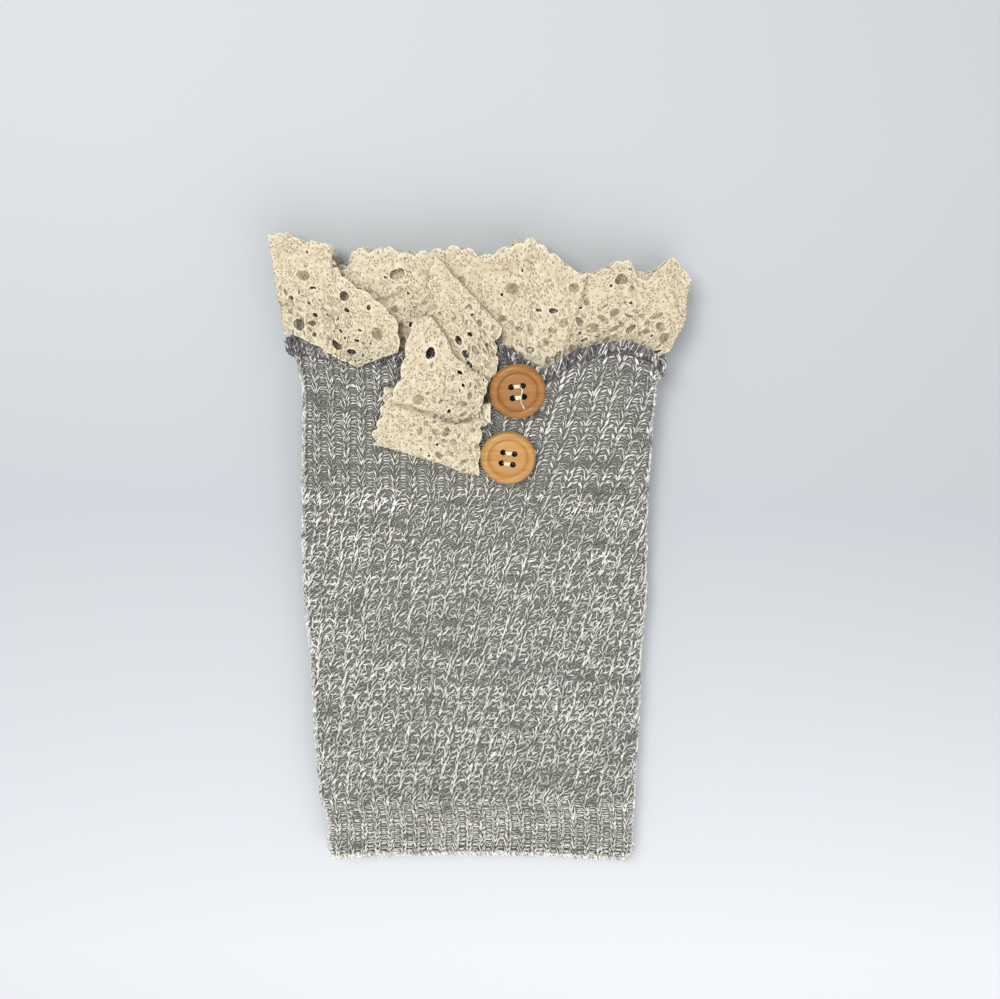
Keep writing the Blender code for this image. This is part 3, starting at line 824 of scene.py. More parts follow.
# The openings that stand out, each an oval that goes right through or lies over another layer.
EYELETS = {
    # stretch: rows of x, y, length, width, tilt in degrees, right through
    "lace_cascade": (
        (-15.1, 75.6, 3.9, 3.0, 70, True),
        (-6.5, 79.4, 3.3, 1.9, -62, True),
        (-4.4, 75.0, 2.8, 2.3, -50, True),
        (-1.0, 76.2, 3.5, 2.0, -62, False),
        (-2.9, 81.1, 1.9, 1.4, -50, True),
        (-3.0, 71.7, 2.5, 1.6, -58, True),
        (2.5, 71.7, 2.3, 1.8, 60, False),
        (-11.9, 78.6, 2.3, 1.0, 80, False),
        (-14.5, 71.6, 1.8, 1.1, 65, False),
        (-6.0, 69.5, 1.8, 1.2, -25, True),
        (-4.1, 85.0, 1.4, 0.8, 60, False),
        (-7.9, 85.9, 1.7, 1.0, 35, False),
        (-12.3, 87.3, 1.2, 1.2, 0, False),
        (-19.2, 60.5, 3.6, 3.0, 10, False),
        (-9.4, 56.8, 1.3, 1.2, 0, True),
        (-5.4, 59.4, 3.6, 1.7, 5, False),
        (-2.9, 62.1, 2.5, 1.6, 80, False),
        (-14.1, 63.8, 1.6, 1.0, 30, False),
        (-16.2, 62.8, 1.3, 1.3, 0, False),
        (-19.2, 49.6, 3.0, 1.6, 80, False),
        (-16.1, 47.4, 2.5, 1.3, 75, False),
        (-10.7, 49.7, 3.3, 2.1, 70, False),
        (-8.5, 46.1, 2.6, 2.4, 0, False),
        (-13.2, 41.5, 2.5, 2.0, -30, False),
        (-16.5, 41.4, 1.2, 1.1, 0, True),
        (-19.1, 46.2, 1.6, 1.1, 0, False),
        (-21.9, 48.5, 1.2, 1.1, 90, False),
        (-1.8, 50.0, 2.1, 1.6, 60, False),
        (-5.3, 39.0, 2.4, 1.5, 55, False),
        (-5.0, 36.5, 1.9, 1.1, 30, False),
    ),
    "lace_front_left": (
        (-54.6, 98.7, 4.3, 2.9, -12, False),
        (-41.9, 92.6, 3.1, 2.8, -60, True),
        (-31.6, 81.1, 4.6, 3.5, -60, False),
        (-56.3, 83.7, 4.0, 3.4, -50, True),
        (-52.3, 84.0, 2.5, 1.8, 0, True),
        (-44.5, 77.5, 3.7, 2.1, -45, True),
        (-39.9, 75.5, 3.8, 1.7, -12, True),
        (-47.8, 78.9, 3.7, 1.4, 85, False),
        (-34.1, 89.3, 1.8, 1.5, 90, True),
        (-41.1, 88.2, 1.8, 1.2, -50, True),
        (-44.5, 85.5, 1.7, 0.9, 80, True),
        (-51.4, 80.9, 1.3, 1.2, 0, True),
        (-51.6, 95.1, 2.0, 0.9, 0, True),
        (-44.9, 101.6, 1.5, 1.1, -20, True),
        (-53.2, 105.6, 1.5, 0.9, -60, True),
        (-36.5, 74.3, 1.3, 1.2, 0, True),
        (-34.1, 73.1, 1.3, 1.0, 0, True),
        (-31.0, 76.7, 1.5, 0.9, 0, False),
        (-37.3, 82.1, 1.5, 0.7, -10, True),
    ),
    "lace_front_middle": (
        (-25.7, 99.4, 4.5, 3.4, 15, True),
        (-29.6, 98.3, 1.4, 0.8, -10, True),
        (-23.1, 96.6, 1.5, 1.2, 20, False),
    ),
    "lace_front_right": (
        (-5.6, 97.6, 2.8, 2.4, -50, False),
        (10.2, 95.1, 3.9, 3.6, 0, False),
        (-1.0, 85.6, 3.6, 2.8, 80, False),
        (7.4, 85.8, 3.4, 1.8, 15, False),
        (16.0, 82.5, 4.2, 1.6, -80, False),
        (18.8, 88.7, 1.8, 1.1, 0, True),
        (23.2, 88.6, 2.9, 1.8, 0, True),
        (29.2, 95.5, 3.1, 2.8, 0, False),
        (44.4, 98.3, 4.6, 3.3, 10, True),
        (41.1, 96.2, 1.2, 1.1, 0, True),
        (47.1, 101.4, 1.2, 1.1, 0, True),
        (48.0, 95.5, 2.6, 1.6, 15, False),
        (33.7, 91.0, 2.0, 1.8, 0, False),
        (42.7, 87.8, 3.3, 2.5, 25, False),
        (39.3, 85.6, 4.3, 2.0, -35, False),
        (35.9, 83.2, 4.3, 2.8, 15, False),
        (42.9, 82.8, 4.3, 1.5, 20, False),
        (48.0, 82.8, 3.6, 2.0, 42, True),
        (47.7, 90.9, 1.3, 1.1, 0, True),
        (49.6, 88.5, 2.5, 1.4, -5, False),
        (56.3, 86.9, 4.3, 1.8, 20, False),
        (57.6, 83.7, 3.0, 2.8, 0, False),
        (53.3, 81.9, 3.0, 1.4, 0, False),
        (59.3, 79.9, 4.0, 3.0, 50, False),
        (23.1, 82.4, 2.9, 1.8, -10, False),
        (26.6, 84.6, 3.3, 2.1, 50, False),
        (31.6, 85.1, 3.6, 2.0, -60, True),
    ),
}


def through(rows, steps):
    """The rows joined by a Catmull-Rom curve, with this many steps from each row to the next."""
    rows = np.array(rows, float)
    ends = np.vstack([2 * rows[0] - rows[1], rows, 2 * rows[-1] - rows[-2]])
    made = []
    for first in range(len(rows) - 1):
        a, b, c, d = ends[first : first + 4]
        for t in np.arange(steps) / steps:
            bend = (2 * a - 5 * b + 4 * c - d) * t**2
            made.append(0.5 * (2 * b + (c - a) * t + bend + (3 * b - a - 3 * c + d) * t**3))
    made.append(rows[-1])
    return np.array(made)


def cascade_rows():
    """The zigzag's rows, as heading and free edge with a height, joined by a half circle at each fold."""
    rows = []
    for index, (level, panel) in enumerate(CASCADE):
        height = LACE_LAYER + level * FOLD_PITCH
        flat = np.array(panel, float)
        inner = flat if index == 0 else flat[1:]
        inner = inner if index == len(CASCADE) - 1 else inner[:-1]
        rows += [(hx, hy, height, fx, fy, height) for hx, hy, fx, fy in inner]
        if index == len(CASCADE) - 1:
            break
        after = LACE_LAYER + CASCADE[index + 1][0] * FOLD_PITCH
        way = flat[-1] - flat[-2]
        way[:2] /= np.linalg.norm(way[:2])
        way[2:] /= np.linalg.norm(way[2:])
        for angle in np.linspace(0, math.pi, FOLD_STEPS):
            hx, hy, fx, fy = flat[-1] - way * (FOLD_PITCH / 2) * (1 - math.sin(angle))
            rise = height + (after - height) * (1 - math.cos(angle)) / 2
            rows.append((hx, hy, rise, fx, fy, rise))
    return np.array(rows)


# Where the cloth bulges out of its rows.
CASCADE_BULGES = (
    # x, y, to x, to y, reach
    (-15.6, 77.4, 0.2, 8.0, 7.0),
    (-6.0, 36.5, 0.6, -1.0, 6.0),
    (-9.6, 57.2, 0.0, -3.0, 6.2),
    (3.6, 54.6, 0.5, -2.0, 3.4),
)

RIGHT_BULGES = (
    # x, y, to x, to y, reach
    (62.0, 84.0, 3.4, 0.0, 8.0),
    (61.0, 75.0, 1.2, -0.6, 4.0),
)
CREASE_FADE = 1.6  # past a crease's ends

# The main creases, and the one edge that laps over its neighbour.
CREASES = {
    # stretch: rows of from x, y, to x, y, height, reach to the right of the way, reach to its left
    "lace_front_left": (
        (-61.4, 89.1, -54.5, 91.0, -1.2, 1.1, 1.1),
        (-51.4, 88.3, -41.7, 89.0, 1.4, 1.4, 1.4),
        (-53.1, 84.4, -44.8, 86.3, -1.4, 1.0, 1.0),
        (-61.4, 106.1, -54.5, 108.7, 1.1, 1.2, 1.2),
        (-47.1, 107.9, -45.8, 97.9, 1.1, 0.9, 1.1),
        (-53.5, 103.7, -46.6, 104.6, 0.9, 1.0, 1.0),
        (-42.5, 84.2, -39.4, 79.7, -0.8, 0.8, 0.8),
        (-36.9, 89.7, -29.2, 79.4, 0.9, 1.6, 1.6),
    ),
    "lace_front_middle": (
        (-34.0, 93.2, -30.0, 90.5, -1.4, 1.0, 1.0),
        (-30.0, 90.5, -22.3, 94.3, -1.4, 1.0, 1.0),
        (-35.1, 97.3, -25.6, 99.1, 1.1, 1.3, 1.3),
        (-25.6, 105.4, -16.2, 100.2, 1.0, 1.4, 1.4),
    ),
    "lace_front_right": (
        (0.5, 101.2, 8.6, 101.7, -1.4, 1.0, 1.2),
        (8.6, 101.7, 17.3, 103.9, -1.4, 1.0, 1.2),
        (15.4, 101.5, 12.9, 92.5, 1.0, 0.9, 0.9),
        (11.6, 87.8, 11.0, 77.3, 1.1, 1.0, 1.0),
        (16.9, 90.0, 15.8, 78.4, -1.0, 1.1, 1.1),
        (32.8, 99.6, 28.2, 80.2, 2.1, 3.6, 0.45),
        (49.4, 87.6, 57.4, 94.2, 1.0, 1.2, 1.2),
        (33.9, 82.8, 41.0, 83.1, -0.9, 0.9, 0.9),
        (37.2, 99.6, 51.9, 97.7, -0.8, 2.0, 2.0),
        (57.2, 100.9, 62.4, 88.3, 0.9, 1.4, 1.4),
    ),
    "lace_cascade": (
        (-12.9, 80.7, -21.2, 71.3, -0.5, 1.2, 1.2),
        (-20.2, 65.1, -2.6, 61.1, 0.5, 1.4, 1.4),
        (-25.3, 51.5, -6.7, 45.5, 0.5, 1.4, 1.4),
        (-29.5, 49.4, -12.9, 42.3, -0.5, 1.1, 1.1),
        (-9.8, 104.5, -6.7, 92.1, 0.7, 1.4, 1.4),
        (-27.6, 58.8, -19.0, 56.4, -1.2, 0.55, 0.55),
        (-19.0, 56.4, -11.5, 53.9, -1.2, 0.55, 0.55),
        (-11.5, 53.9, -2.4, 53.9, -1.0, 0.6, 0.6),
        (-26.6, 60.4, -8.0, 56.6, 0.5, 1.0, 1.0),
    ),
}


def creased(stretch, x, y):
    """How far the creases raise the cloth at x, y."""
    lift = np.zeros_like(x)
    for x0, y0, x1, y1, height, right, left in CREASES.get(stretch, ()):
        length = math.hypot(x1 - x0, y1 - y0)
        way_x, way_y = (x1 - x0) / length, (y1 - y0) / length
        along = (x - x0) * way_x + (y - y0) * way_y
        aside = (y - y0) * way_x - (x - x0) * way_y
        past = np.maximum(np.maximum(-along, along - length), 0)
        reach = np.where(aside > 0, left, right)
        lift += height * np.exp(-((aside / reach) ** 2) - (past / CREASE_FADE) ** 2)
    return lift


class Ribbon:
    """A stretch of the lace strip: its rows, and the height that they stand on."""

    def __init__(self, table, base, lean, waves, bulges=()):
        self.table, self.base, self.lean, self.waves, self.bulges = table, base, lean, waves, bulges
        middle = self.table[:, :3] * 0.35 + self.table[:, 3:] * 0.65
        step = np.linalg.norm(np.diff(middle, axis=0), axis=1)
        self.length = np.concatenate([[0], np.cumsum(step)])

    def at(self, along, share):
        """Points at a distance along the strip, and at a share of its width from the heading."""
        row = [np.interp(along, self.length, self.table[:, column]) for column in range(6)]
        x = row[0] * (1 - share) + row[3] * share
        y = row[1] * (1 - share) + row[4] * share
        for near_x, near_y, to_x, to_y, reach in self.bulges:
            near = np.exp(-(((x - near_x) / reach) ** 2) - ((y - near_y) / reach) ** 2)
            x, y = x + to_x * near, y + to_y * near
        rise = np.maximum(share, 0) ** self.lean
        z = row[2] * (1 - rise) + row[5] * rise + self.base(x, y)
        for size, pitch, phase, power in self.waves:
            inside = np.clip(share, 0, 1)
            fade = (1 - inside) ** power if power >= 0 else inside**-power
            z = z + size * fade * np.sin(2 * math.pi * along / pitch + phase + 1.5 * share)
        return np.stack([x, y, z], axis=-1)

    def flat(self):
        """The width and length that show, in metres."""
        width = np.linalg.norm(self.table[:, 3:5] - self.table[:, :2], axis=1).mean()
        return float(width) * MM, float(self.length[-1]) * MM

    def find(self, x, y):
        """How far along the strip, and across it, the point nearest to x, y lies."""
        tried = np.linspace(0, self.length[-1], 500), np.linspace(0, 1.05, 80)
        along, share = np.meshgrid(*tried, indexing="ij")
        spots = self.at(along, share)
        off = np.hypot(spots[..., 0] - x, spots[..., 1] - y)
        best = np.argmin(off - np.where(off < off.min() + 0.5, spots[..., 2], 0))
        return along.reshape(-1)[best], share.reshape(-1)[best]

    def eyelet(self, x, y, long, wide, tilt):
        """An oval at x, y as it lies on the flat strip: place, half sizes and tilt there."""
        along, share = self.find(x, y)
        step = 0.2
        here = self.at(along, share)
        right = (self.at(along + step, share) - here)[:2] / step
        up = (self.at(along, share + step / LACE_WIDTH) - here)[:2] / step
        slant = math.radians(tilt)
        axes = np.array([[math.cos(slant), math.sin(slant)], [-math.sin(slant), math.cos(slant)]])
        _, shrink, ways = np.linalg.svd((2 * axes / [[long], [wide]]) @ np.stack([right, up], 1))
        return along, share * LACE_WIDTH, 1 / shrink[0], 1 / shrink[1], math.atan2(ways[0, 1], ways[0, 0])


def charted(rng, rounds, length, smallest):
    """The openings over a stretch: repeats of the chart, moved so that the round ones fall on rounds."""
    if len(rounds):
        spots = np.array(sorted(rounds))
        more = LACE_REPEAT * np.arange(1, 5)
        chart_x = LACE_REPEAT * np.arange(-4, len(spots) + 4) + ROUND_HOLE_AT
        spots_x = np.concatenate([spots[0, 0] - more[::-1], spots[:, 0], spots[-1, 0] + more])
        rises = np.interp(spots_x, spots[:, 0], spots[:, 1])
    else:
        chart_x = spots_x = LACE_REPEAT * np.arange(-2, 12) + ROUND_HOLE_AT
        rises = np.full(len(chart_x), ROUND_HOLE_RISE)
    holes = []
    for repeat in range(-3, 13):
        for along, up, long, tall, tilt in LACE_CHART:
            spot = along + repeat * LACE_REPEAT
            s = float(np.interp(spot, chart_x, spots_x))
            if not (chart_x[0] <= spot <= chart_x[-1] and END_MARGIN < s < length - END_MARGIN):
                continue
            t = up + (float(np.interp(s, spots_x, rises)) - ROUND_HOLE_RISE) * min(1.0, up / 20)
            s, t = s + PLACE_SPREAD * rng.normal(), t + PLACE_SPREAD * rng.normal()
            scale = 1.0 - SIZE_FALL * up / ROUND_HOLE_RISE + SIZE_SPREAD * rng.normal()
            if min(long, tall) * scale >= smallest:
                turn = math.radians(tilt + TILT_SPREAD * rng.normal())
                holes.append((s, t, long * scale / 2, tall * scale / 2, turn))
    return np.array(holes)


def to_openings(s, t, holes):
    """The signed distance to the nearest opening's edge, and the way out of it."""
    best = np.full(s.shape, 9.0)
    way_s, way_t = np.zeros(s.shape), np.zeros(s.shape)
    for hs, ht, half_long, half_tall, tilt in holes:
        ds, dt = s - hs, t - ht
        near = (np.abs(ds) < half_long + half_tall + 2) & (np.abs(dt) < half_long + half_tall + 2)
        if not near.any():
            continue
        ds, dt = ds[near], dt[near]
        a = ds * math.cos(tilt) + dt * math.sin(tilt)
        b = -ds * math.sin(tilt) + dt * math.cos(tilt)
        q = np.sqrt((a / half_long) ** 2 + (b / half_tall) ** 2)
        ga, gb = a / half_long**2, b / half_tall**2
        steep = np.maximum(np.hypot(ga, gb), 1e-6)
        distance = (q - 1) * q / steep
        ga, gb = ga / steep, gb / steep
        closer = distance < best[near]
        place = np.flatnonzero(near.reshape(-1))[closer]
        best.reshape(-1)[place] = distance[closer]
        way_s.reshape(-1)[place] = (ga * math.cos(tilt) - gb * math.sin(tilt))[closer]
        way_t.reshape(-1)[place] = (ga * math.sin(tilt) + gb * math.cos(tilt))[closer]
    return best, way_s, way_t


def scallops(rng, along):
    """The height of the free edge over the heading: small round scallops in groups of four."""
    pitch = LACE_REPEAT / 4
    number = np.floor((along + SCALLOP_SHIFT) / pitch).astype(int)
    share = (along + SCALLOP_SHIFT) / pitch - number
    heights = 0.3 + 2.0 * rng.uniform(0.30, 1.0, number.max() - number.min() + 1)
    bump = heights[number - number.min()] * np.sin(math.pi * share) ** 0.7
    group = 0.7 * np.cos(2 * math.pi * (along + SCALLOP_SHIFT - 2.3) / LACE_REPEAT)
    return LACE_WIDTH - 1.0 + bump + group


# How many of a stretch's openings show through, and how wavy its heading is.
STRETCHES = {
    # stretch: share of openings right through, heading wave
    "lace_front_left": (0.35, 0.0),
    "lace_front_middle": (0.25, 0.0),
    "lace_front_right": (0.25, 0.3),
    "lace_back": (0.60, 0.0),
    "lace_cascade": (0.10, 1.1),
}


def openings_of(rng, stretch, ribbon, rounds, smallest):
    """The openings of a stretch, from the chart and the eyelets: those right through, and those sunk."""
    found = [ribbon.find(x, y) for x, y in rounds]
    holes = charted(rng, [(s, share * LACE_WIDTH) for s, share in found], ribbon.length[-1], smallest)
    is_open = rng.uniform(size=len(holes)) < STRETCHES[stretch][0]
    eyelets = EYELETS.get(stretch)
    if eyelets:
        spots = np.array([ribbon.eyelet(*row[:5]) for row in eyelets])
        clear = np.hypot(holes[:, 0, None] - spots[:, 0], holes[:, 1, None] - spots[:, 1])
        free = (clear > spots[:, 2:4].max(1) + holes[:, 2:4].max(1)[:, None] + EYELET_CLEAR).all(1)
        free &= holes[:, 2:4].min(1) <= ROUND_HALF
        holes = np.concatenate([holes[free], spots])
        is_open = np.concatenate([is_open[free], [row[5] for row in eyelets]])
    return holes[is_open], holes[~is_open]


def snapped(s, t, holes, cell):
    """The grid with its points near an opening's edge moved onto that edge."""
    distance, way_s, way_t = to_openings(s, t, holes)
    snap = np.abs(distance) < SNAP_SHARE * cell
    snap[[0, -1]] = False
    snap[:, [0, -1]] = False
    return s - np.where(snap, distance * way_s, 0), t - np.where(snap, distance * way_t, 0)


def shell_faces(kept):
    """A closed shell's quads over the kept cells of a grid: the under side's points follow the top's."""
    rows, columns = kept.shape[0] + 1, kept.shape[1] + 1
    index = np.arange(rows * columns).reshape(rows, columns)
    under = rows * columns
    a, b, c, d = index[:-1, :-1], index[1:, :-1], index[1:, 1:], index[:-1, 1:]
    faces = [np.stack([a, b, c, d], -1)[kept], np.stack([a, d, c, b], -1)[kept] + under]
    padded = np.pad(kept, 1)
    neighbours = padded[1:-1, :-2], padded[2:, 1:-1], padded[1:-1, 2:], padded[:-2, 1:-1]
    for near, far, neighbour in zip((a, b, c, d), (b, c, d, a), neighbours):
        wall = kept & ~neighbour
        first, second = near[wall], far[wall]
        faces.append(np.stack([second, first, first + under, second + under], -1))
    return np.concatenate(faces)


def crumpled(rng, s, t, height):
    """The height with small waves added, which run every way over the strip."""
    for pitch in CRUMPLE_PITCHES:
        way, phase = rng.uniform(0, math.pi), rng.uniform(0, 2 * math.pi)
        run = s * math.cos(way) + t * math.sin(way)
        height = height + CRUMPLE * pitch * np.sin(2 * math.pi * run / pitch + phase)
    return height


def lace_piece(name, stretch, ribbon, rounds, cell, material, seed):
    """A stretch of lace as a closed shell: openings cut out or sunk, cords raised, free edge scalloped."""
    rng = np.random.default_rng(seed)
    length = ribbon.length[-1]
    heading_wave = STRETCHES[stretch][1]
    holes, sunk = openings_of(rng, stretch, ribbon, rounds, 2.0 * cell)
    across = int(round(LACE_WIDTH / cell)) + 1
    lengthwise = int(round(length / cell)) + 1
    along, share = np.meshgrid(np.linspace(0, length, lengthwise), np.linspace(0, 1, across), indexing="ij")
    edge = scallops(rng, along[:, 0])[:, None]
    swell = 0.8 + 0.3 * np.sin(along / HEADING_SWELL)
    heading = -heading_wave * np.abs(np.sin(math.pi * along / HEADING_PITCH)) * swell
    s, t = snapped(along, heading + share * (edge - heading), holes, cell)
    distance, _, _ = to_openings(s, t, holes)
    sink, _, _ = to_openings(s, t, sunk)
    middle_s = (s[:-1, :-1] + s[1:, :-1] + s[:-1, 1:] + s[1:, 1:]) / 4
    middle_t = (t[:-1, :-1] + t[1:, :-1] + t[:-1, 1:] + t[1:, 1:]) / 4
    kept = to_openings(middle_s, middle_t, holes)[0] > 0
    points = ribbon.at(s, t / LACE_WIDTH)
    normal = np.cross(np.gradient(points, axis=0), np.gradient(points, axis=1))
    normal /= np.maximum(np.linalg.norm(normal, axis=2, keepdims=True), 1e-9)
    outward = np.sign(normal[..., 2])
    raised = crumpled(rng, s, t, creased(stretch, points[..., 0], points[..., 1]) * outward)
    # Pits: openings not cut through, sunk here and painted dark as shade in the material.
    pit = smooth(-0.30, 0.25, -sink) if len(sunk) else np.zeros_like(s)
    nearest = np.maximum(np.minimum(distance, np.abs(sink)), 0)
    cord_and_highlight = np.exp(-((nearest / CORD_REACH) ** 2)) * (1 - pit)
    rim = np.exp(-(((edge - t) / RIM_REACH) ** 2)) + 0.8 * np.exp(-(((t - heading) / HEADING_REACH) ** 2))
    points = points + normal * (raised - PIT_SINK * pit * outward)[..., None]
    half = LACE_HALF + LACE_UNEVEN * rng.normal(size=s.shape)
    half = half + CORD_RISE * cord_and_highlight + RIM_RISE * rim - 0.08 * pit
    top, bottom = points + normal * half[..., None], points - normal * half[..., None]
    used, faces = np.unique(shell_faces(kept), return_inverse=True)
    points = np.concatenate([top.reshape(-1, 3), bottom.reshape(-1, 3)])[used]
    points[:, 2] = np.maximum(points[:, 2], 0.03)
    spots = np.tile(np.stack([s, t], -1).reshape(-1, 2), (2, 1))[used]
    # The raised cords and rims are also painted lighter in the material, a painted highlight.
    values = [(label, np.tile(value.reshape(-1), 2)[used]) for label, value in (
        ("pit", pit), ("cord_and_highlight", np.maximum(cord_and_highlight, rim)),
    )]
    piece = mesh_piece(name, points, [faces.reshape(-1, 4)], [material], uv=spots / 10, values=values)
    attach(piece, "root")
    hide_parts(name.replace("_strip", ""))
    return piece


WAVES = {
    # how a ribbon waves: rows of size, pitch, phase, and the power by which it fades towards its free
    # edge or, where that is below 0, towards its heading
    "gathered": ((0.30, 3.1, 0.0, 3), (0.22, 4.7, 1.0, 1), (0.30, 9.3, 2.0, -1), (0.16, 6.1, 0.3, 0)),
    "loose": ((0.22, 9.7, 0.4, -1), (0.16, 4.3, 1.9, 0), (0.12, 6.7, 0.9, 0)),
}


def lace_of(which, rest, cell, material, seed):
    """Every stretch of a cuff's lace, with its ribbon."""

    def over_front(x, y):
        return front_face(x, y, rest)

    def in_slit(x, y):
        return slit_middle(x, y, rest)

    def gathered(rows, base, bulges=()):
        return Ribbon(through(rows, 12), base, LEAN, WAVES["gathered"], bulges)

    cascade = Ribbon(cascade_rows(), over_front, 1.0, WAVES["loose"], CASCADE_BULGES)
    stretches = (
        ("lace_front_left", gathered(LEFT_FRONT, over_front), LEFT_ROUNDS),
        ("lace_front_middle", gathered(MIDDLE_FRONT, in_slit), MIDDLE_ROUNDS),
        ("lace_front_right", gathered(RIGHT_FRONT, in_slit, RIGHT_BULGES), RIGHT_ROUNDS),
        ("lace_back", gathered(BACK, in_slit), BACK_ROUNDS),
        ("lace_cascade", cascade, ()),
    )
    made = {}
    for number, (name, ribbon, rounds) in enumerate(stretches):
        fine = COARSE_CELL if name == "lace_back" else cell
        piece = lace_piece(f"{which}_{name}_strip", name, ribbon, rounds, fine, material, seed + number)
        made[name] = (piece, ribbon)
    return made


# --- the wooden buttons

BUTTON_RADIUS = 9.0
BUTTON_THICK = 3.4
BUTTON_HOLE_RADIUS = 1.0
BUTTON_HOLE_SPACING = 3.7
BUTTON_LIFT = 0.8
BUTTONS = (
    # name, x, y, turn in degrees
    ("top", 12.2, 63.7, 8.0),
    ("bottom", 9.5, 41.4, -8.0),
)
WOOD_TONES = {
    # button, or the inside of its holes, which is painted dark as shade: darker and lighter grain
    "top": ((141, 91, 32), (167, 114, 46)),
    "bottom": ((170, 121, 57), (194, 146, 79)),
    "shaded_bore": ((44, 24, 14), (66, 38, 22)),
}
BUTTON_PROFILE = (
    # radius, height
    (0.0, 2.50),
    (3.0, 2.52),
    (4.9, 2.58),
    (5.45, 2.54),
    (5.75, 2.34),
    (5.98, 2.34),
    (6.25, 2.72),
    (6.6, 3.16),
    (7.1, 3.38),
    (7.7, 3.40),
    (8.3, 3.22),
    (8.72, 2.84),
    (8.94, 2.3),
    (9.0, 1.8),
    (8.86, 1.2),
    (8.4, 0.66),
    (7.4, 0.24),
    (6.0, 0.02),
    (0.0, 0.0),
)
BUTTON_SEGMENTS = 96
HOLE_SEGMENTS = 28


def button_seat(x, y, turn, rest):
    """The button's place and turn, lying on the slope of the knit under it."""
    reach = BUTTON_RADIUS
    slope_x = float(front_face(x + reach, y, rest) - front_face(x - reach, y, rest)) / (2 * reach)
    slope_y = float(front_face(x, y + reach, rest) - front_face(x, y - reach, rest)) / (2 * reach)
    angles = np.linspace(0, 2 * math.pi, 32, endpoint=False)
    edge_x, edge_y = x + reach * np.cos(angles), y + reach * np.sin(angles)
    middle = float(front_face(x, y, rest))
    over = front_face(edge_x, edge_y, rest) - middle - slope_x * (edge_x - x) - slope_y * (edge_y - y)
    seat = middle + max(0.0, float(over.max())) + BUTTON_LIFT
    turned = Euler((math.atan(slope_y), -math.atan(slope_x), math.radians(turn))).to_matrix().to_4x4()
    return Matrix.Translation((x, y, seat)) @ turned


def bored(made, radius, spots, depth):
    """The mesh with round holes cut through it."""
    for x, y in spots:
        bpy.ops.mesh.primitive_cylinder_add(
            vertices=HOLE_SEGMENTS, radius=radius * MM, depth=depth * MM, location=(x * MM, y * MM, 0)
        )
        drill = bpy.context.object
        cut = made.modifiers.new("hole", "BOOLEAN")
        cut.operation = "DIFFERENCE"
        cut.solver = "EXACT"
        cut.object = drill
    graph = bpy.context.evaluated_depsgraph_get()
    mesh = bpy.data.meshes.new_from_object(made.evaluated_get(graph))
    for cut in list(made.modifiers):
        drill = cut.object
        made.modifiers.remove(cut)
        bpy.data.objects.remove(drill, do_unlink=True)
    made.data = mesh


def make_button(name, x, y, turn, rest, wood, shaded_bore):
    """A turned disc with a rolled rim, a groove inside it, a shallow dish and four holes."""
    angles = np.arange(BUTTON_SEGMENTS) * 2 * math.pi / BUTTON_SEGMENTS
    profile = BUTTON_PROFILE[1:-1]
    cosines, sines = np.cos(angles), np.sin(angles)
    rings = [np.column_stack([r * cosines, r * sines, np.full(len(angles), h)]) for r, h in profile]
    points = np.concatenate([[[0, 0, BUTTON_PROFILE[0][1]]], *rings, [[0, 0, 0.0]]])
    index = 1 + np.arange(len(profile) * BUTTON_SEGMENTS).reshape(len(profile), BUTTON_SEGMENTS)
    after = np.roll(index, -1, axis=1)
    sides = np.stack([index[:-1], index[1:], after[1:], after[:-1]], -1).reshape(-1, 4)
    top = np.stack([np.zeros(BUTTON_SEGMENTS, int), index[0], after[0]], -1)
    bottom = np.stack([np.full(BUTTON_SEGMENTS, len(points) - 1), after[-1], index[-1]], -1)
    made = mesh_piece(name + "_turned", points, [sides, np.concatenate([top, bottom])], [wood, shaded_bore])
    half = BUTTON_HOLE_SPACING / 2
    spots = [(sx * half, sy * half) for sx in (-1, 1) for sy in (-1, 1)]
    bored(made, BUTTON_HOLE_RADIUS, spots, 4 * BUTTON_THICK)
    # The faces inside the holes take the wood painted dark as shade.
    for face in made.data.polygons:
        face.use_smooth = True
        middle = np.abs(np.array(face.center[:2])) / MM - half
        in_shaded_bore = abs(face.normal.z) < 0.2 and np.hypot(*middle) < BUTTON_HOLE_RADIUS * 1.05
        face.material_index = 1 if in_shaded_bore else 0
    made.data.set_sharp_from_angle(angle=math.radians(40))
    place = button_seat(x, y, turn, rest)
    made.data.transform(Matrix.Scale(1000, 4))
    made.data.transform(place)
    made.data.transform(Matrix.Scale(MM, 4))
    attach(made, "root")
    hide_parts(name)


THREAD_PLIES = 5
THREAD_POINTS = 12
THREAD_RADIUS, LOOSE_RADIUS = 0.15, 0.19
THREAD_APART = 0.25
THREAD_DIP, DIP_SHARE = 1.3, 0.16  # how far a thread goes down a hole, over this share at each end
DISH_HEIGHT = 2.5
LOOSE_END = (
    # x, y, height on the button
    (1.1, 1.5, 2.9),
    (1.55, 0.5, 3.0),
    (1.0, -0.8, 3.05),
    (0.7, -2.2, 2.95),
    (0.8, -3.9, 2.9),
    (1.6, -6.0, 3.1),
)


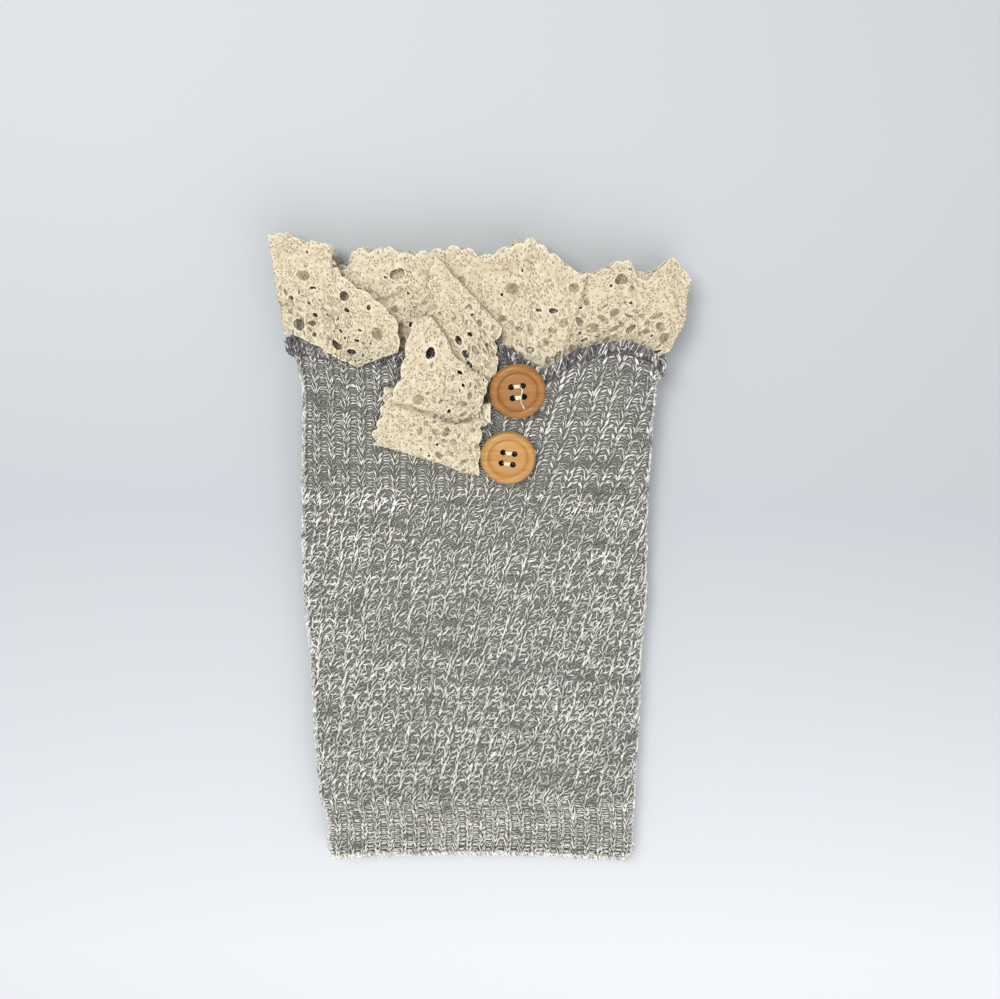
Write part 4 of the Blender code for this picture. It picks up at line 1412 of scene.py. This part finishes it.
def make_stitches(name, which_button, x, y, turn, rest, cotton, seed):
    """The thread bars between the holes, and on the top button a loose end."""
    rng = np.random.default_rng(seed)
    half = BUTTON_HOLE_SPACING / 2
    paths = []
    share = np.linspace(0, 1, THREAD_POINTS)
    for row in (-1, 1):
        for ply in range(THREAD_PLIES):
            offset = (ply - (THREAD_PLIES - 1) / 2) * THREAD_APART
            end = half - 0.72 + 0.06 * rng.normal()
            sx = -end + 2 * end * share
            sy = row * half + offset * (0.75 + 0.25 * np.sin(math.pi * share))
            sy = sy + 0.04 * rng.normal(size=THREAD_POINTS)
            dip = np.maximum(0, DIP_SHARE - share) + np.maximum(0, share - (1 - DIP_SHARE))
            rise = DISH_HEIGHT + 0.22 + 0.07 * (ply % 2) - THREAD_DIP * dip / DIP_SHARE
            paths.append(np.stack([sx, sy, rise], -1))
    radii = [THREAD_RADIUS] * len(paths)
    if which_button == "top":
        loose = through(LOOSE_END, 3)
        paths.append(loose[np.linspace(0, len(loose) - 1, THREAD_POINTS).round().astype(int)])
        radii.append(LOOSE_RADIUS)
    place = np.array(button_seat(x, y, turn, rest))
    lines = np.array(paths) @ place[:3, :3].T + place[:3, 3]
    ups = np.broadcast_to(place[:3, 2], lines.shape)
    widths = np.repeat(np.array(radii)[:, None], THREAD_POINTS, axis=1)
    slots = np.zeros((len(lines), THREAD_POINTS - 1), int)
    piece = strand_piece(name + "_thread", [(lines, widths, ups, slots, 6)], cotton)
    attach(piece, "root")


# --- the materials of cloth and wood


def make_knit_ground():
    """The cloth behind the loops, its colour darkened as painted shade in the gaps between them: rows of
    small dark and light chevrons, one to a column.
    """
    n = Nodes("knit_ground_painted_shade", {"Roughness": 0.95, "Specular IOR Level": 0.2})
    where = n.add("UVMap", {}, "UV", uv_map="cloth")
    stitches = n.add("Mapping", {"Vector": where, "Scale": (10 / WALE, 10 / 1.9, 1.0)})
    across, up = n.add("SeparateXYZ", {"Vector": stitches}, ("X", "Y"))
    chevron = n.math("MULTIPLY_ADD", n.math("PINGPONG", across, 0.5), 1.6, up)
    shifted = n.math("MULTIPLY_ADD", n.noise(where, 9.0, 3.0), 0.8, chevron)
    wave = n.math("PINGPONG", shifted, 0.25)
    # Painted shade: the ground's tones are darker than the yarn's, for the shade between the loops.
    colour = n.ramp(wave, ((0.02, display(88, 87, 82)), (0.23, display(176, 175, 166))))
    return n.finish(colour, wave, 0.8, 0.002)


def make_lace_material():
    """Cream cotton lace: a net of cords near the heading, close threads beyond, and sunk openings painted
    dark as shade, with the cords and rims painted lighter as highlight.
    """
    n = Nodes("cotton_lace", {"Roughness": 0.88, "Specular IOR Level": 0.2, "Sheen Weight": 0.1})
    where = n.add("UVMap", {}, "UV", uv_map="cloth")
    # The net: irregular cells with cords between, most of them sunk and painted dark as shade.
    wobble = n.noise(where, 3.2, 1.0, "Color")
    bent = n.add("VectorMath", {0: wobble, 1: (0.22, 0.22, 0.0), 2: where}, operation="MULTIPLY_ADD")
    cells = {"Vector": bent, "Scale": 4.6, "Randomness": 0.9}
    to_cord = n.add("TexVoronoi", cells, "Distance", feature="DISTANCE_TO_EDGE")
    kind = n.add("TexVoronoi", cells, "Color", feature="F1")
    first_draw, second_draw = n.add("SeparateColor", {"Color": kind}, ("Red", "Green"))
    height = n.add("SeparateXYZ", {"Vector": where}, "Y")
    up = n.math("MULTIPLY_ADD", n.noise(where, 1.1, 2.0), -1.6, height)
    near_heading = n.math("SUBTRACT", 1.0, n.eased(up, 0.9, 1.9))
    net = n.math("MULTIPLY", n.eased(to_cord, 0.14, 0.34), n.eased(first_draw, 0.38, 0.46))
    net = n.math("MULTIPLY", net, near_heading)
    net = n.math("MULTIPLY", net, n.math("MULTIPLY_ADD", second_draw, 0.7, 0.3))
    # The close cloth: rows of pinholes between the threads.
    rows = {"Vector": where, "Rotation": (0, 0, math.radians(35)), "Scale": (15.0, 10.5, 1.0)}
    pins = {"Vector": n.add("Mapping", rows), "Scale": 1.0, "Randomness": 0.6}
    thread = n.eased(n.add("TexVoronoi", pins, "Distance"), 0.08, 0.46)
    cloudy = n.noise(where, 6.0, 3.0)
    cord_and_highlight = n.add("Attribute", {}, "Fac", attribute_name="cord_and_highlight")
    pit = n.math("MAXIMUM", n.add("Attribute", {}, "Fac", attribute_name="pit"), net)
    shade = n.mixed(n.eased(cloudy, 0.3, 0.7), display(197, 183, 153), display(219, 208, 184))
    shade = n.mixed(thread, display(174, 159, 128), shade)
    # Painted highlight: the raised cords and rims lighter.
    shade = n.mixed(cord_and_highlight, shade, display(233, 224, 203))
    patchy = n.eased(n.noise(where, 2.6, 1.0), 0.38, 0.62)
    # Painted shade: the sunk openings and the net's cells take dark, patchy colours for the shade under
    # them.
    painted_pit_shade = n.mixed(patchy, display(160, 147, 114), display(98, 84, 58))
    depth = n.math("MULTIPLY", pit, n.math("MULTIPLY_ADD", cloudy, 0.8, 0.25))
    relief = n.math("MULTIPLY_ADD", net, -1.0, n.math("MULTIPLY", thread, 0.4))
    return n.finish(n.mixed(depth, shade, painted_pit_shade), relief, 1.0, 0.0009)


def make_wood(name, dark, light):
    """Varnished wood with a fine grain between two tones."""
    n = Nodes("button_wood_" + name, {"Coat Weight": 0.22, "Coat Roughness": 0.25})
    along_grain = {"Vector": n.add("TexCoord", {}, "Object"), "Scale": (60.0, 900.0, 200.0)}
    grain = n.noise(n.add("Mapping", along_grain), 1.0, 4.0)
    rough = n.add("MapRange", {"Value": grain, "To Min": 0.38, "To Max": 0.5})
    n.fill(n.shader, {"Roughness": rough})
    return n.finish(n.ramp(grain, ((0.30, display(*dark)), (0.70, display(*light)))), grain, 0.15, 0.0001)


# --- the stage


FLOOR_SHADE_TONES = (
    # share of the way from FLOOR_FROM to FLOOR_TO, colour; the floor is painted darker towards the lace
    # end, as shade
    (0.0, display(220, 222, 227)),
    (0.6, display(184, 189, 194)),
    (1.0, display(191, 195, 197)),
)
FLOOR_FROM, FLOOR_TO = -160.0, 140.0
FLOOR_HALF = 3000.0
FLOOR_UNDER = 0.02
WORLD_STRENGTH = 0.48
LIGHTS = (
    # name, place, what it faces, side, watts
    ("key", (-240, 330, 700), (0, 0, 0), 360, 4.2),
    ("fill", (260, -400, 560), (0, -110, 0), 900, 3.2),
)


def make_floor():
    n = Nodes("floor", {"Roughness": 0.7})
    y = n.add("SeparateXYZ", {"Vector": n.add("TexCoord", {}, "Object")}, "Y")
    along = n.add("MapRange", {"Value": y, "From Min": FLOOR_FROM * MM, "From Max": FLOOR_TO * MM})
    # The floor's colour, painted darker towards the lace end as shade.
    material = n.finish(n.ramp(along, FLOOR_SHADE_TONES))
    points = [(x * FLOOR_HALF, y * FLOOR_HALF, 0) for x, y in ((-1, -1), (1, -1), (1, 1), (-1, 1))]
    floor = mesh_piece("floor", points, [np.array([[0, 1, 2, 3]])], [material], shade_smooth=False)
    floor.location.z = -FLOOR_UNDER * MM


def make_light(name, spot, aim, size, energy):
    data = bpy.data.lights.new(name, "AREA")
    data.shape = "SQUARE"
    data.size = size * MM
    data.energy = energy
    lamp = bpy.data.objects.new(name, data)
    bpy.context.scene.collection.objects.link(lamp)
    lamp.location = np.array(spot) * MM
    way = np.array(aim, float) - np.array(spot, float)
    lamp.rotation_mode = "QUATERNION"
    lamp.rotation_quaternion = Vector(way).to_track_quat("-Z", "Y")


def make_camera():
    data = bpy.data.cameras.new("camera")
    data.lens = LENS_MM
    data.sensor_width = SENSOR_MM
    data.clip_start = 0.01
    camera = bpy.data.objects.new("camera", data)
    bpy.context.scene.collection.objects.link(camera)
    tilt = math.radians(VIEW_TILT)
    roll = math.radians(VIEW_ROLL)
    away = np.array([-math.sin(roll) * math.sin(tilt), math.cos(roll) * math.sin(tilt), math.cos(tilt)])
    camera.location = (np.array(VIEW_CENTRE) + away * VIEW_DISTANCE) * MM
    camera.rotation_mode = "XYZ"
    camera.rotation_euler = (-tilt, 0.0, roll)
    bpy.context.scene.camera = camera


def make_world():
    world = bpy.data.worlds.new("studio")
    world.use_nodes = True
    world.node_tree.nodes["Background"].inputs["Color"].default_value = (1, 1, 1, 1)
    world.node_tree.nodes["Background"].inputs["Strength"].default_value = WORLD_STRENGTH
    bpy.context.scene.world = world
    bpy.context.scene.view_settings.view_transform = "Standard"


CUFFS = (
    # which, what it rests on, seed, the loops' nearest reach to the middle line, the lace's mesh
    ("lower", flat_rest, 40, SIDES_ONLY, COARSE_CELL),
    ("upper", draped_rest, 10, -1.0, FINE_CELL),
)


def build():
    make_camera()
    make_world()
    make_floor()
    for light in LIGHTS:
        make_light(*light)
    yarns, threads, cotton = make_yarns(YARN_TONES), make_yarns(THREAD_TONES), make_yarns(BUTTON_THREAD)
    # The knit ground under the loops is painted dark as shade.
    under, lace = make_knit_ground(), make_lace_material()
    wood = {name: make_wood(name, *tones) for name, tones in WOOD_TONES.items()}
    for which, rest, seed, inner_reach, cell in CUFFS:
        shell = knit_shell(which, rest, under)
        on_shell = knit_loops(which, rest, yarns, seed + 1, inner_reach)
        on_shell.append(edge_cord(which, rest, yarns, seed + 2))
        on_shell.append(overlocking(which, rest, threads, seed + 3))
        for name, (piece, ribbon) in lace_of(which, rest, cell, lace, seed + 4).items():
            ribbon.flat()
        for place, x, y, turn in BUTTONS:
            make_button(f"{which}_button_{place}", x, y, turn, rest, wood[place], wood["shaded_bore"])
            make_stitches(f"{which}_button_{place}", place, x, y, turn, rest, cotton, seed + 9)


build()
